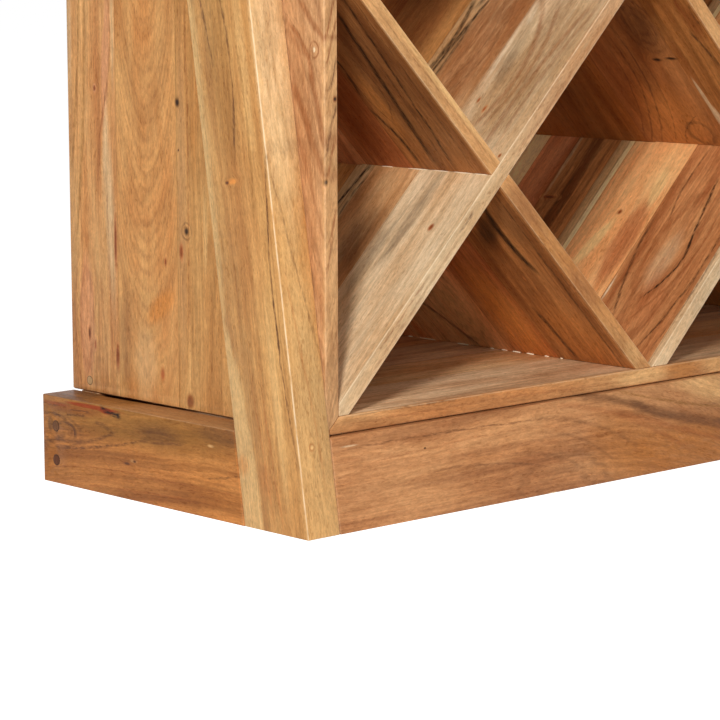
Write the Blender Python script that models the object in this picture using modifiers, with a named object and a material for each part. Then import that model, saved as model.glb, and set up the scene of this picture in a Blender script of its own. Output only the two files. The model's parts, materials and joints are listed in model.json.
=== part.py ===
"""Wine cabinet: a mitred case filled with a diamond lattice for bottles.

The case stands on a plinth between two leaning posts and carries a plain top board.
Metres, +Z up, front towards -Y, origin on the floor under the middle of the cabinet.
"""

import math

import bmesh
import bpy
from mathutils import Matrix, Vector

# Case
CASE_INNER_WIDTH = 0.950
CASE_INNER_HEIGHT = 0.950
CASE_DEPTH = 0.422
CASE_BOARD = 0.018
CASE_ARRIS = 0.0012

# Lattice of crossing boards, two diamonds wide and two high
LATTICE_BOARD = 0.018
LATTICE_ARRIS = 0.0010

# Back panel, held in a groove round the case
BACK_PANEL = 0.008
BACK_PANEL_INSET = 0.010
BACK_GROOVE_DEPTH = 0.006

# Leaning posts
POST_THICKNESS = 0.044
POST_WIDTH = 0.097
POST_LEAN = math.radians(8.9)
POST_ARRIS = 0.0018

# Plinth
PLINTH_HEIGHT = 0.0972
PLINTH_FRONT_BOARD = 0.022
PLINTH_FOOT = 0.022
PLINTH_ARRIS = 0.0012
CASE_REVEAL = 0.0008
CASE_BACK_OVERHANG = 0.0025
REAR_RAIL = 0.024
REAR_RAIL_INSET = 0.012
CLEAT_WIDTH = 0.030
CLEAT_HEIGHT = 0.060
BEARER_WIDTH = 0.030

# Top board
TOP_BOARD = 0.025
TOP_SIDE_OVERHANG = 0.010
TOP_FRONT_OVERHANG = 0.020
TOP_ARRIS = 0.0025

# Screws, plugs and dowels
SCREW_SHANK_RADIUS = 0.0020
SCREW_HEAD_RADIUS = 0.0040
SCREW_HEAD_HEIGHT = 0.0026
SCREW_POINT = 0.005
MITRE_SCREW_LENGTH = 0.035
PLINTH_SCREW_LENGTH = 0.070
POST_SCREW_LENGTH = 0.045
TOP_SCREW_LENGTH = 0.034
RECESS_LENGTH = 0.0044
RECESS_WIDTH = 0.0011
RECESS_DEPTH = 0.0014
MITRE_PLUG_RADIUS = 0.0050
MITRE_PLUG_DEPTH = 0.005
PLINTH_PLUG_RADIUS = 0.0060
PLINTH_PLUG_DEPTH = 0.010
DOWEL_RADIUS = 0.0040
DOWEL_LENGTH = 0.044
DOWEL_CHAMFER = 0.0008
MITRE_SCREW_INSET = 0.0315
MITRE_SCREW_RISE = 0.0125
PLINTH_SCREW_LOW = 0.026
PLINTH_SCREW_HIGH = 0.064
TOP_SCREW_INSET = 0.090

# Clearances and resolution
JOINT_GAP = 0.0003
CUT_MARGIN = 0.010
TURNED_STEPS = 12
WELD = 0.00001
ARRIS_ANGLE = math.radians(30)
SMOOTH_ANGLE = math.radians(40)

# Places that follow from the sizes
INNER_X = CASE_INNER_WIDTH / 2
CASE_X = INNER_X + CASE_BOARD
OUTER_X = CASE_X + POST_THICKNESS
FOOT_FRONT = -(PLINTH_FOOT + CASE_DEPTH) / 2
CASE_FRONT = FOOT_FRONT + PLINTH_FOOT
CASE_BACK = CASE_FRONT + CASE_DEPTH
PLINTH_BACK = CASE_BACK - CASE_BACK_OVERHANG
PANEL_BACK = CASE_BACK - BACK_PANEL_INSET
PANEL_FRONT = PANEL_BACK - BACK_PANEL
LATTICE_BACK = PANEL_FRONT - JOINT_GAP
LATTICE_MIDDLE = (CASE_FRONT + LATTICE_BACK) / 2
CASE_BOTTOM = PLINTH_HEIGHT + CASE_REVEAL
INNER_BOTTOM = CASE_BOTTOM + CASE_BOARD
INNER_TOP = INNER_BOTTOM + CASE_INNER_HEIGHT
CASE_TOP = INNER_TOP + CASE_BOARD
INNER_MIDDLE = (INNER_BOTTOM + INNER_TOP) / 2
TOP_UNDERSIDE = CASE_TOP + JOINT_GAP
LEAN_RUN = math.tan(POST_LEAN)
LEAN_SPREAD = 1 / math.cos(POST_LEAN)
RAIL_BACK = PLINTH_BACK - REAR_RAIL_INSET
RAIL_FRONT = RAIL_BACK - REAR_RAIL
LATTICE_ANGLE = math.atan2(CASE_INNER_HEIGHT, CASE_INNER_WIDTH)
LATTICE_LENGTH = math.hypot(CASE_INNER_WIDTH, CASE_INNER_HEIGHT)

# Colours as seen, each as red, green and blue from 0 to 255
HONEY = (196, 146, 92)
SAPWOOD = (214, 176, 128)
CHESTNUT = (150, 92, 52)
AMBER = (178, 118, 68)
UMBER = (120, 78, 48)
BEECH = (205, 170, 125)
STEEL = (176, 172, 160)
WOOD_ROUGHNESS = 0.5
STEEL_ROUGHNESS = 0.35

SIDES = (("left", -1), ("right", 1))

# A frame for a flat outline: the outline's own X, Y and thickness axes as columns
OUTLINE_FRAMES = {
    "X": Matrix(((0, 0, 1), (1, 0, 0), (0, 1, 0))).to_4x4(),
    "Y": Matrix(((1, 0, 0), (0, 0, -1), (0, 1, 0))).to_4x4(),
}


def clear_scene():
    """Remove everything that is in the file at the start."""
    for item in list(bpy.data.objects):
        bpy.data.objects.remove(item, do_unlink=True)
    for group in list(bpy.data.collections):
        bpy.data.collections.remove(group)


def new_collection(name):
    """A collection in the scene."""
    group = bpy.data.collections.new(name)
    bpy.context.scene.collection.children.link(group)
    return group


def linear(value):
    """One colour channel from 0..255 as a linear value."""
    share = value / 255
    if share <= 0.04045:
        return share / 12.92
    return ((share + 0.055) / 1.055) ** 2.4


class Workshop:
    """Where the parts and the cutters are collected."""

    def __init__(self):
        self.parts = new_collection("wine_cabinet")
        self.cutters = new_collection("cutters")
        self.root = bpy.data.objects.new("wine_cabinet_root", None)
        self.parts.objects.link(self.root)

    def add_part(self, name, mesh, placement, colour, roughness=WOOD_ROUGHNESS, metallic=0.0):
        """A sub-part with its own material, parented to the root."""
        part = bpy.data.objects.new(name, mesh)
        self.parts.objects.link(part)
        part.parent = self.root
        part.matrix_world = placement
        finish = bpy.data.materials.new(name + "_finish")
        finish.use_nodes = True
        shader = finish.node_tree.nodes["Principled BSDF"]
        shader.inputs["Base Color"].default_value = (*[linear(c) for c in colour], 1)
        shader.inputs["Roughness"].default_value = roughness
        shader.inputs["Metallic"].default_value = metallic
        if mesh.materials:
            part.material_slots[0].link = "OBJECT"
            part.material_slots[0].material = finish
        else:
            mesh.materials.append(finish)
        return part

    def add_cutter(self, name, mesh, placement):
        """A cutting shape, drawn as wire and never rendered."""
        cutter = bpy.data.objects.new(name, mesh)
        self.cutters.objects.link(cutter)
        cutter.matrix_world = placement
        cutter.hide_render = True
        cutter.display_type = "WIRE"
        return cutter


def box_mesh(name, size):
    """A box of this size, centred on its own origin."""
    cage = bmesh.new()
    bmesh.ops.create_cube(cage, size=1, matrix=Matrix.Diagonal((*size, 1)))
    mesh = bpy.data.meshes.new(name)
    cage.to_mesh(mesh)
    cage.free()
    return mesh


def evaluated_mesh(name, draft):
    """The welded mesh of a draft object as its modifiers leave it; the draft goes."""
    bpy.context.scene.collection.objects.link(draft)
    graph = bpy.context.evaluated_depsgraph_get()
    mesh = bpy.data.meshes.new_from_object(draft.evaluated_get(graph))
    mesh.name = name
    cage = bmesh.new()
    cage.from_mesh(mesh)
    bmesh.ops.remove_doubles(cage, verts=cage.verts, dist=WELD)
    bmesh.ops.recalc_face_normals(cage, faces=cage.faces)
    cage.to_mesh(mesh)
    cage.free()
    bpy.data.objects.remove(draft, do_unlink=True)
    return mesh


def outline_mesh(name, outline, thickness):
    """A flat outline given thickness, half of it on each side of its own plane."""
    curve = bpy.data.curves.new(name, "CURVE")
    curve.dimensions = "2D"
    curve.fill_mode = "BOTH"
    curve.extrude = thickness / 2
    spline = curve.splines.new("POLY")
    spline.points.add(len(outline) - 1)
    for point, (across, up) in zip(spline.points, outline):
        point.co = (across, up, 0, 1)
    spline.use_cyclic_u = True
    return evaluated_mesh(name, bpy.data.objects.new(name, curve))


def turned_mesh(name, profile):
    """A closed turned mesh about its own Z from (radius, height) pairs, top to bottom."""
    mesh = bpy.data.meshes.new(name)
    points = [(radius, 0, height) for radius, height in profile]
    mesh.from_pydata(points, [(i, i + 1) for i in range(len(points) - 1)], [])
    draft = bpy.data.objects.new(name, mesh)
    lathe = draft.modifiers.new("lathe", "SCREW")
    lathe.axis = "Z"
    lathe.steps = TURNED_STEPS
    lathe.render_steps = TURNED_STEPS
    lathe.use_merge_vertices = True
    lathe.merge_threshold = WELD
    return evaluated_mesh(name, draft)


def pointing(place, along):
    """A placement whose own -Z runs along this direction, for a screw driven that way."""
    turn = Vector(along).to_track_quat("-Z", "Y")
    return Matrix.LocRotScale(Vector(place), turn, None)


def soften(part, width, segments=1):
    """Ease the arrises of a board."""
    easing = part.modifiers.new("arris", "BEVEL")
    easing.width = width
    easing.segments = segments
    easing.limit_method = "ANGLE"
    easing.angle_limit = ARRIS_ANGLE


def cut(part, cutter, operation="DIFFERENCE"):
    """Cut a part with a cutter, or keep only what lies inside it."""
    step = part.modifiers.new(cutter.name, "BOOLEAN")
    step.operation = operation
    step.object = cutter
    step.solver = "EXACT"


def outline_board(shop, name, outline, axis, start, end, colour, arris, segments=1):
    """A board whose outline is square to an axis, from start to end along that axis."""
    mesh = outline_mesh(name, outline, abs(end - start))
    middle = (start + end) / 2
    offset = Vector((middle, 0, 0)) if axis == "X" else Vector((0, middle, 0))
    board = shop.add_part(name, mesh, Matrix.Translation(offset) @ OUTLINE_FRAMES[axis], colour)
    soften(board, arris, segments)
    return board


def box_board(shop, name, low, high, colour, arris, segments=1):
    """A square board between two corners."""
    low = Vector(low)
    high = Vector(high)
    mesh = box_mesh(name, high - low)
    board = shop.add_part(name, mesh, Matrix.Translation((low + high) / 2), colour)
    soften(board, arris, segments)
    return board


def leaning_front(height):
    """Where the leaning front face is at this height, as y."""
    return FOOT_FRONT + height * LEAN_RUN


def leaning_outline(width, bottom, top):
    """The side outline of a leaning board of this width, square to its length."""
    spread = width * LEAN_SPREAD
    return [
        (leaning_front(bottom), bottom),
        (leaning_front(bottom) + spread, bottom),
        (leaning_front(top) + spread, top),
        (leaning_front(top), top),
    ]


def behind_lean(setback, back, bottom, top):
    """The side outline of a board whose front end follows the lean and whose back is upright."""
    spread = (setback + JOINT_GAP) * LEAN_SPREAD
    return [
        (leaning_front(bottom) + spread, bottom),
        (back, bottom),
        (back, top),
        (leaning_front(top) + spread, top),
    ]


def build_case(shop):
    """Two sides, a floor and a top, mitred at the corners and grooved for the back panel."""
    slip = JOINT_GAP * math.sqrt(2)
    boards = {}
    for side, sign in SIDES:
        outline = [
            (sign * CASE_X, CASE_BOTTOM),
            (sign * INNER_X, INNER_BOTTOM),
            (sign * INNER_X, INNER_TOP),
            (sign * CASE_X, CASE_TOP),
        ]
        name = "side_panel_" + side
        boards[name] = outline_board(
            shop, name, outline, "Y", CASE_FRONT, CASE_BACK, HONEY, CASE_ARRIS
        )
    levels = (("case_floor", CASE_BOTTOM, INNER_BOTTOM), ("case_top", CASE_TOP, INNER_TOP))
    for name, outside, inside in levels:
        outline = [
            (-CASE_X + slip, outside),
            (CASE_X - slip, outside),
            (INNER_X - slip, inside),
            (-INNER_X + slip, inside),
        ]
        boards[name] = outline_board(
            shop, name, outline, "Y", CASE_FRONT, CASE_BACK, AMBER, CASE_ARRIS
        )
    reach_x = INNER_X + BACK_GROOVE_DEPTH
    reach_z = CASE_INNER_HEIGHT / 2 + BACK_GROOVE_DEPTH
    groove = box_cutter(
        shop,
        "back_groove",
        (-reach_x, PANEL_FRONT - JOINT_GAP, INNER_MIDDLE - reach_z),
        (reach_x, PANEL_BACK + JOINT_GAP, INNER_MIDDLE + reach_z),
    )
    for board in boards.values():
        cut(board, groove)
    box_board(
        shop,
        "back_panel",
        (-reach_x + JOINT_GAP, PANEL_FRONT, INNER_MIDDLE - reach_z + JOINT_GAP),
        (reach_x - JOINT_GAP, PANEL_BACK, INNER_MIDDLE + reach_z - JOINT_GAP),
        UMBER,
        LATTICE_ARRIS,
    )
    return boards


def box_cutter(shop, name, low, high):
    """A square cutter between two corners."""
    low = Vector(low)
    high = Vector(high)
    return shop.add_cutter(name, box_mesh(name, high - low), Matrix.Translation((low + high) / 2))


def lattice_lines():
    """Each lattice board as name, way it rises (1 to the right, -1 to the left) and its middle line.

    A long board lies on the case's diagonal. A short one has its inner face on the line
    between the middles of two neighbouring walls, so its middle is half a board outside.
    """
    quarter_x = CASE_INNER_WIDTH / 4
    quarter_z = CASE_INNER_HEIGHT / 4
    outward_x = math.sin(LATTICE_ANGLE) * LATTICE_BOARD / 2
    outward_z = math.cos(LATTICE_ANGLE) * LATTICE_BOARD / 2
    lines = [("lattice_rising_long", 1, 0, 0), ("lattice_falling_long", -1, 0, 0)]
    for name, rise, x_way, z_way in (
        ("lattice_falling_lower_left", -1, -1, -1),
        ("lattice_falling_upper_right", -1, 1, 1),
        ("lattice_rising_upper_left", 1, -1, 1),
        ("lattice_rising_lower_right", 1, 1, -1),
    ):
        x = x_way * (quarter_x + outward_x)
        z = z_way * (quarter_z + outward_z)
        lines.append((name, rise, x, z))
    return lines


def lattice_placement(rise, x, middle_y, z):
    """A placement whose own X runs along a lattice board."""
    turn = Matrix.Rotation(-rise * LATTICE_ANGLE, 4, "Y")
    return Matrix.Translation((x, middle_y, INNER_MIDDLE + z)) @ turn


def build_lattice(shop):
    """Six boards, halved into each other where they cross, their ends cut to the case."""
    cavity = box_cutter(
        shop,
        "case_cavity",
        (-INNER_X + JOINT_GAP, CASE_FRONT - CUT_MARGIN, INNER_BOTTOM + JOINT_GAP),
        (INNER_X - JOINT_GAP, CASE_BACK + CUT_MARGIN, INNER_TOP - JOINT_GAP),
    )
    depth = LATTICE_BACK - CASE_FRONT
    length = LATTICE_LENGTH + 2 * CUT_MARGIN
    slot_width = LATTICE_BOARD + 2 * JOINT_GAP
    slot_depth = depth / 2 + JOINT_GAP / 2 + CUT_MARGIN
    boards = {1: [], -1: []}
    slots = {1: [], -1: []}
    for name, rise, x, z in lattice_lines():
        mesh = box_mesh(name, (length, depth, LATTICE_BOARD))
        board = shop.add_part(name, mesh, lattice_placement(rise, x, LATTICE_MIDDLE, z), SAPWOOD)
        cut(board, cavity, "INTERSECT")
        soften(board, LATTICE_ARRIS)
        boards[rise].append((board, x, z))
        # A rising board is whole at the front, so it slots the falling boards' front halves.
        way = -rise
        middle_y = LATTICE_MIDDLE + way * (slot_depth / 2 - JOINT_GAP / 2)
        slot = shop.add_cutter(
            name + "_slot",
            box_mesh(name + "_slot", (length, slot_depth, slot_width)),
            lattice_placement(rise, x, middle_y, z),
        )
        slots[rise].append((slot, x, z))
    for rise in (1, -1):
        for board, x, z in boards[rise]:
            for slot, slot_x, slot_z in slots[-rise]:
                if boards_cross(rise, x, z, slot_x, slot_z):
                    cut(board, slot)


def boards_cross(rise, x, z, other_x, other_z):
    """Whether a board and one that leans the other way cross inside the case."""
    slope = rise * math.tan(LATTICE_ANGLE)
    cross_x = (other_z - z + slope * (x + other_x)) / (2 * slope)
    cross_z = z + slope * (cross_x - x)
    inside_x = abs(cross_x) < CASE_INNER_WIDTH / 2 - 2 * LATTICE_BOARD
    inside_z = abs(cross_z) < CASE_INNER_HEIGHT / 2 - 2 * LATTICE_BOARD
    return inside_x and inside_z


def build_posts(shop):
    """Two posts that lean back against the case's sides."""
    posts = {}
    for side, sign in SIDES:
        name = "post_" + side
        posts[side] = outline_board(
            shop,
            name,
            leaning_outline(POST_WIDTH, 0, TOP_UNDERSIDE - JOINT_GAP),
            "X",
            sign * (CASE_X + JOINT_GAP),
            sign * OUTER_X,
            HONEY,
            POST_ARRIS,
            2,
        )
    return posts


def build_plinth(shop):
    """Front board, side boards, rear rail, and the cleats and bearer that carry the case."""
    seat = CASE_BOTTOM - JOINT_GAP
    plinth = {}
    plinth["front"] = outline_board(
        shop,
        "plinth_front",
        leaning_outline(PLINTH_FRONT_BOARD, 0, seat),
        "X",
        -CASE_X,
        CASE_X,
        CHESTNUT,
        PLINTH_ARRIS,
    )
    plinth["rear"] = box_board(
        shop,
        "plinth_rear_rail",
        (-CASE_X, RAIL_FRONT, 0),
        (CASE_X, RAIL_BACK, seat),
        UMBER,
        PLINTH_ARRIS,
    )
    carried = behind_lean(PLINTH_FRONT_BOARD, RAIL_FRONT - JOINT_GAP, seat - CLEAT_HEIGHT, seat)
    for side, sign in SIDES:
        plinth[side] = outline_board(
            shop,
            "plinth_" + side,
            behind_lean(POST_WIDTH, PLINTH_BACK, 0, PLINTH_HEIGHT),
            "X",
            sign * (CASE_X + JOINT_GAP),
            sign * OUTER_X,
            CHESTNUT,
            PLINTH_ARRIS,
        )
        outline_board(
            shop,
            "plinth_cleat_" + side,
            carried,
            "X",
            sign * (CASE_X - CLEAT_WIDTH),
            sign * CASE_X,
            UMBER,
            PLINTH_ARRIS,
        )
    outline_board(
        shop,
        "plinth_bearer",
        behind_lean(PLINTH_FRONT_BOARD, RAIL_FRONT - JOINT_GAP, 0, seat),
        "X",
        -BEARER_WIDTH / 2,
        BEARER_WIDTH / 2,
        UMBER,
        PLINTH_ARRIS,
    )
    return plinth


def build_top(shop):
    """The top board, over the case and the heads of the posts."""
    return box_board(
        shop,
        "top_board",
        (-OUTER_X - TOP_SIDE_OVERHANG, CASE_FRONT - TOP_FRONT_OVERHANG, TOP_UNDERSIDE),
        (OUTER_X + TOP_SIDE_OVERHANG, CASE_BACK, TOP_UNDERSIDE + TOP_BOARD),
        HONEY,
        TOP_ARRIS,
        2,
    )


def screw_profile(length, grow=0.0):
    """A countersunk screw's outline from the head down, grown by a clearance for its hole."""
    shank = SCREW_SHANK_RADIUS + grow
    return [
        (SCREW_HEAD_RADIUS + grow, 0),
        (shank, -SCREW_HEAD_HEIGHT),
        (shank, -length + SCREW_POINT - grow),
        (0, -length - grow),
    ]


def screw_mesh(shop, name, length, recess):
    """A screw, with a cross recess in its head where the head shows."""
    profile = [(0, 0)] + screw_profile(length)
    mesh = turned_mesh(name, profile)
    if not recess:
        return mesh
    draft = bpy.data.objects.new(name, mesh)
    arm = (RECESS_LENGTH, RECESS_WIDTH, 2 * RECESS_DEPTH)
    for way, turn in (("a", 0), ("b", math.pi / 2)):
        label = name + "_recess_" + way
        cut(draft, shop.add_cutter(label, box_mesh(label, arm), Matrix.Rotation(turn, 4, "Z")))
    return evaluated_mesh(name, draft)


def screw_hole(shop, name, placement, length, plug_radius, plug_depth):
    """The cutter for a screw and for the plug over it, or for a flush head where there is none."""
    mouth = plug_radius if plug_depth else SCREW_HEAD_RADIUS
    head = screw_profile(length, JOINT_GAP)
    profile = [(0, CUT_MARGIN), (mouth + JOINT_GAP, CUT_MARGIN), (mouth + JOINT_GAP, -plug_depth)]
    if not plug_depth:
        profile = profile[:2]
    profile += [(radius, height - plug_depth) for radius, height in head]
    return shop.add_cutter(name, turned_mesh(name, profile), placement)


def drive_screw(shop, name, mesh, place, along, length, boards, plug=None, plug_radius=0.0, plug_depth=0.0):
    """Put a screw through these boards from a point on the first one's face, under a plug if any."""
    placement = pointing(place, along)
    hole = screw_hole(shop, name + "_hole", placement, length, plug_radius, plug_depth)
    for board in boards:
        cut(board, hole)
    sunk = Matrix.Translation((0, 0, -plug_depth - JOINT_GAP))
    shop.add_part(name, mesh, placement @ sunk, STEEL, STEEL_ROUGHNESS, 1.0)
    if plug:
        plug_name = name.replace("screw", "plug")
        shop.add_part(plug_name, plug, placement, BEECH)


def plug_mesh(name, radius, depth):
    """A wooden plug, flush with the face that it fills."""
    return turned_mesh(name, [(0, 0), (radius, 0), (radius, -depth), (0, -depth)])


def build_case_screws(shop, boards):
    """Plugged screws through the mitres, one near the front and one near the back of each corner."""
    mesh = screw_mesh(shop, "mitre_screw", MITRE_SCREW_LENGTH, False)
    plug = plug_mesh("mitre_plug", MITRE_PLUG_RADIUS, MITRE_PLUG_DEPTH)
    corners = (
        ("lower", "case_floor", CASE_BOTTOM + MITRE_SCREW_RISE),
        ("upper", "case_top", CASE_TOP - MITRE_SCREW_RISE),
    )
    places = (
        ("front", CASE_FRONT + MITRE_SCREW_INSET),
        ("back", CASE_BACK - MITRE_SCREW_INSET),
    )
    for side, sign in SIDES:
        for level, crossing, z in corners:
            for end, y in places:
                drive_screw(
                    shop,
                    f"mitre_screw_{level}_{end}_{side}",
                    mesh,
                    (sign * CASE_X, y, z),
                    (-sign, 0, 0),
                    MITRE_SCREW_LENGTH,
                    (boards["side_panel_" + side], boards[crossing]),
                    plug,
                    MITRE_PLUG_RADIUS,
                    MITRE_PLUG_DEPTH,
                )


def build_plinth_screws(shop, plinth):
    """Plugged screws through the side boards into the ends of the rear rail."""
    mesh = screw_mesh(shop, "plinth_screw", PLINTH_SCREW_LENGTH, False)
    plug = plug_mesh("plinth_plug", PLINTH_PLUG_RADIUS, PLINTH_PLUG_DEPTH)
    for side, sign in SIDES:
        for level, z in (("low", PLINTH_SCREW_LOW), ("high", PLINTH_SCREW_HIGH)):
            drive_screw(
                shop,
                f"plinth_screw_{level}_{side}",
                mesh,
                (sign * OUTER_X, (RAIL_FRONT + RAIL_BACK) / 2, z),
                (-sign, 0, 0),
                PLINTH_SCREW_LENGTH,
                (plinth[side], plinth["rear"]),
                plug,
                PLINTH_PLUG_RADIUS,
                PLINTH_PLUG_DEPTH,
            )


def build_post_screws(shop, boards, posts):
    """Screws from inside the case through its sides into the middles of the posts."""
    mesh = screw_mesh(shop, "post_screw", POST_SCREW_LENGTH, True)
    heights = (
        ("lower", INNER_BOTTOM + CASE_INNER_HEIGHT / 4),
        ("upper", INNER_TOP - CASE_INNER_HEIGHT / 4),
    )
    for side, sign in SIDES:
        for level, z in heights:
            drive_screw(
                shop,
                f"post_screw_{level}_{side}",
                mesh,
                (sign * INNER_X, leaning_front(z) + POST_WIDTH * LEAN_SPREAD / 2, z),
                (sign, 0, 0),
                POST_SCREW_LENGTH,
                (boards["side_panel_" + side], posts[side]),
            )


def build_top_screws(shop, boards, top):
    """Screws from inside the case up into the top board."""
    mesh = screw_mesh(shop, "top_screw", TOP_SCREW_LENGTH, True)
    for side, sign in SIDES:
        for end, y in (("front", CASE_FRONT + TOP_SCREW_INSET), ("back", PANEL_FRONT - TOP_SCREW_INSET)):
            drive_screw(
                shop,
                f"top_screw_{end}_{side}",
                mesh,
                (sign * CASE_INNER_WIDTH / 4, y, INNER_TOP),
                (0, 0, 1),
                TOP_SCREW_LENGTH,
                (boards["case_top"], top),
            )


def dowel_profile(grow=0.0):
    """A dowel with chamfered ends about its middle, grown by a clearance for its bore."""
    half = DOWEL_LENGTH / 2 + grow
    radius = DOWEL_RADIUS + grow
    return [
        (0, half),
        (radius - DOWEL_CHAMFER, half),
        (radius, half - DOWEL_CHAMFER),
        (radius, -half + DOWEL_CHAMFER),
        (radius - DOWEL_CHAMFER, -half),
        (0, -half),
    ]


def build_dowels(shop, plinth, posts):
    """Dowels from the posts into the ends of the front board and of the side boards."""
    mesh = turned_mesh("dowel", dowel_profile())
    z = PLINTH_HEIGHT / 2
    front_y = leaning_front(z) + PLINTH_FRONT_BOARD * LEAN_SPREAD / 2
    side_y = leaning_front(z) + POST_WIDTH * LEAN_SPREAD
    for side, sign in SIDES:
        joints = (
            ("dowel_front_" + side, (sign * CASE_X, front_y, z), (1, 0, 0), plinth["front"]),
            ("dowel_side_" + side, (sign * (CASE_X + OUTER_X) / 2, side_y, z), (0, 1, 0), plinth[side]),
        )
        for name, place, along, board in joints:
            placement = pointing(place, along)
            bore = turned_mesh(name + "_bore", dowel_profile(JOINT_GAP))
            bore_cutter = shop.add_cutter(name + "_bore", bore, placement)
            cut(posts[side], bore_cutter)
            cut(board, bore_cutter)
            shop.add_part(name, mesh, placement, BEECH)


def shade_round_pieces(shop):
    """Shade the turned pieces smooth and keep their corners sharp."""
    for part in shop.parts.objects:
        if part.type == "MESH" and part.name.startswith(("dowel", "mitre", "plinth_screw", "plinth_plug")):
            part.data.shade_smooth()
            part.data.set_sharp_from_angle(angle=SMOOTH_ANGLE)


def main():
    clear_scene()
    shop = Workshop()
    boards = build_case(shop)
    build_lattice(shop)
    posts = build_posts(shop)
    plinth = build_plinth(shop)
    top = build_top(shop)
    build_case_screws(shop, boards)
    build_plinth_screws(shop, plinth)
    build_post_screws(shop, boards, posts)
    build_top_screws(shop, boards, top)
    build_dowels(shop, plinth, posts)
    shade_round_pieces(shop)
    bpy.context.view_layer.update()


main()
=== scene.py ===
"""Looks of a solid wood wine cabinet with leaning posts and a diamond lattice of bins.

The lattice boards are sawn by a node tree, and every other board is a copy of its solid. All of them
get rounded arrises and their own grain: staves sawn from different logs, growth rings about a pith,
dark streaks, pores, knots, and edges paled by wear and by a painted highlight. Node trees also make
the plugs, screws, dowels and torn fibres, the fibres coloured near white as a painted highlight.
"""

import json
import logging
import math
import random
from collections.abc import Sequence
from dataclasses import dataclass, field
from enum import Enum
from functools import reduce

import bmesh
import bpy
from mathutils import Euler, Matrix, Vector

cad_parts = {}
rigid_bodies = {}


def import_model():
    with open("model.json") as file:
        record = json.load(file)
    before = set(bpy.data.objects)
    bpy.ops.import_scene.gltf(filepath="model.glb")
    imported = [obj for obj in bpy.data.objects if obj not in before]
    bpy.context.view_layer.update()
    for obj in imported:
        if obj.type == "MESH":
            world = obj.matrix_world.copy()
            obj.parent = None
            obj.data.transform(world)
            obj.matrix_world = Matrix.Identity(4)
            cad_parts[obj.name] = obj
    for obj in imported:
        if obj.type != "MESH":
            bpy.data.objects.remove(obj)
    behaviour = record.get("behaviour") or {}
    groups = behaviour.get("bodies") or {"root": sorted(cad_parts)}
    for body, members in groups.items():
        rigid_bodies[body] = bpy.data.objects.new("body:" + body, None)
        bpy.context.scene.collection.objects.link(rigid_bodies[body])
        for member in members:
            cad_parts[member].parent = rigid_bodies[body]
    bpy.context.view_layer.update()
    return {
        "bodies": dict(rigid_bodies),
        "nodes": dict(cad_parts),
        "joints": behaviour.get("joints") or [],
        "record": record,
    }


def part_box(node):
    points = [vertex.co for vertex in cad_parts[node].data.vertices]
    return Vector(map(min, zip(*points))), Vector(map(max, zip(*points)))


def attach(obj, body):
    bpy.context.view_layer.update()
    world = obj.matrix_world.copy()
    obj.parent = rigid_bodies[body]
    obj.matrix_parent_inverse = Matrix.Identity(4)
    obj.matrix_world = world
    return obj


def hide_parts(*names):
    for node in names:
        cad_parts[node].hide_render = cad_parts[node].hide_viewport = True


LOG = logging.getLogger("wine_cabinet")

BODY = "root"

# Driving sizes that the solids' boxes don't give, in metres and radians
MM = 0.001
POST_LEAN = math.radians(8.9)
POST_WIDTH = 0.097
PLINTH_GRAIN_START = -0.120
LATTICE_BOARD = 0.018
EDGE_BAND = 0.0017
SEAM_WIDTH = 0.0008
NARROW_DEPTH = 0.006
SAG_SKIN = 0.0025
LIT_PLACE = (-0.2, 0.0, 0.35)
DIAGONAL = math.sqrt(0.5)

# Marks in the wood
KNOT_PUSH = 2.6
LINE_OVERRUN = 0.62
LINE_WANDER = 0.0075
WHOLE_LINES = 90.0

# Arrises of the dressed boards
WELD = 0.00001
FLAT_ANGLE = math.radians(0.5)
ARRIS_ANGLE = math.radians(25)
ARRIS_ROUND = 0.00045

# Directions of the cabinet
RIGHT = Vector((1, 0, 0))
BACK = Vector((0, 1, 0))
UP = Vector((0, 0, 1))

Colour = tuple[int, int, int]
Place = tuple[float, float]
Triple = tuple[float, float, float]
Material = bpy.types.Material
Object = bpy.types.Object
Socket = bpy.types.NodeSocket
Value = Socket | float | Sequence[float]
Inputs = dict[str | int, Value]


def linear(colour: Colour) -> tuple[float, float, float, float]:
    """Turn an 8-bit sRGB colour into Blender's linear one.

    Args:
        colour: red, green and blue from 0 to 255.

    Returns:
        Linear red, green, blue and an alpha of one.
    """
    shares = [channel / 255 for channel in colour]
    values = [s / 12.92 if s <= 0.04045 else ((s + 0.055) / 1.055) ** 2.4 for s in shares]
    return (values[0], values[1], values[2], 1.0)


@dataclass(frozen=True)
class Palette:
    """The two colours that a stave's growth bands run between, as 8-bit sRGB."""

    light: Colour
    dark: Colour


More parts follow.
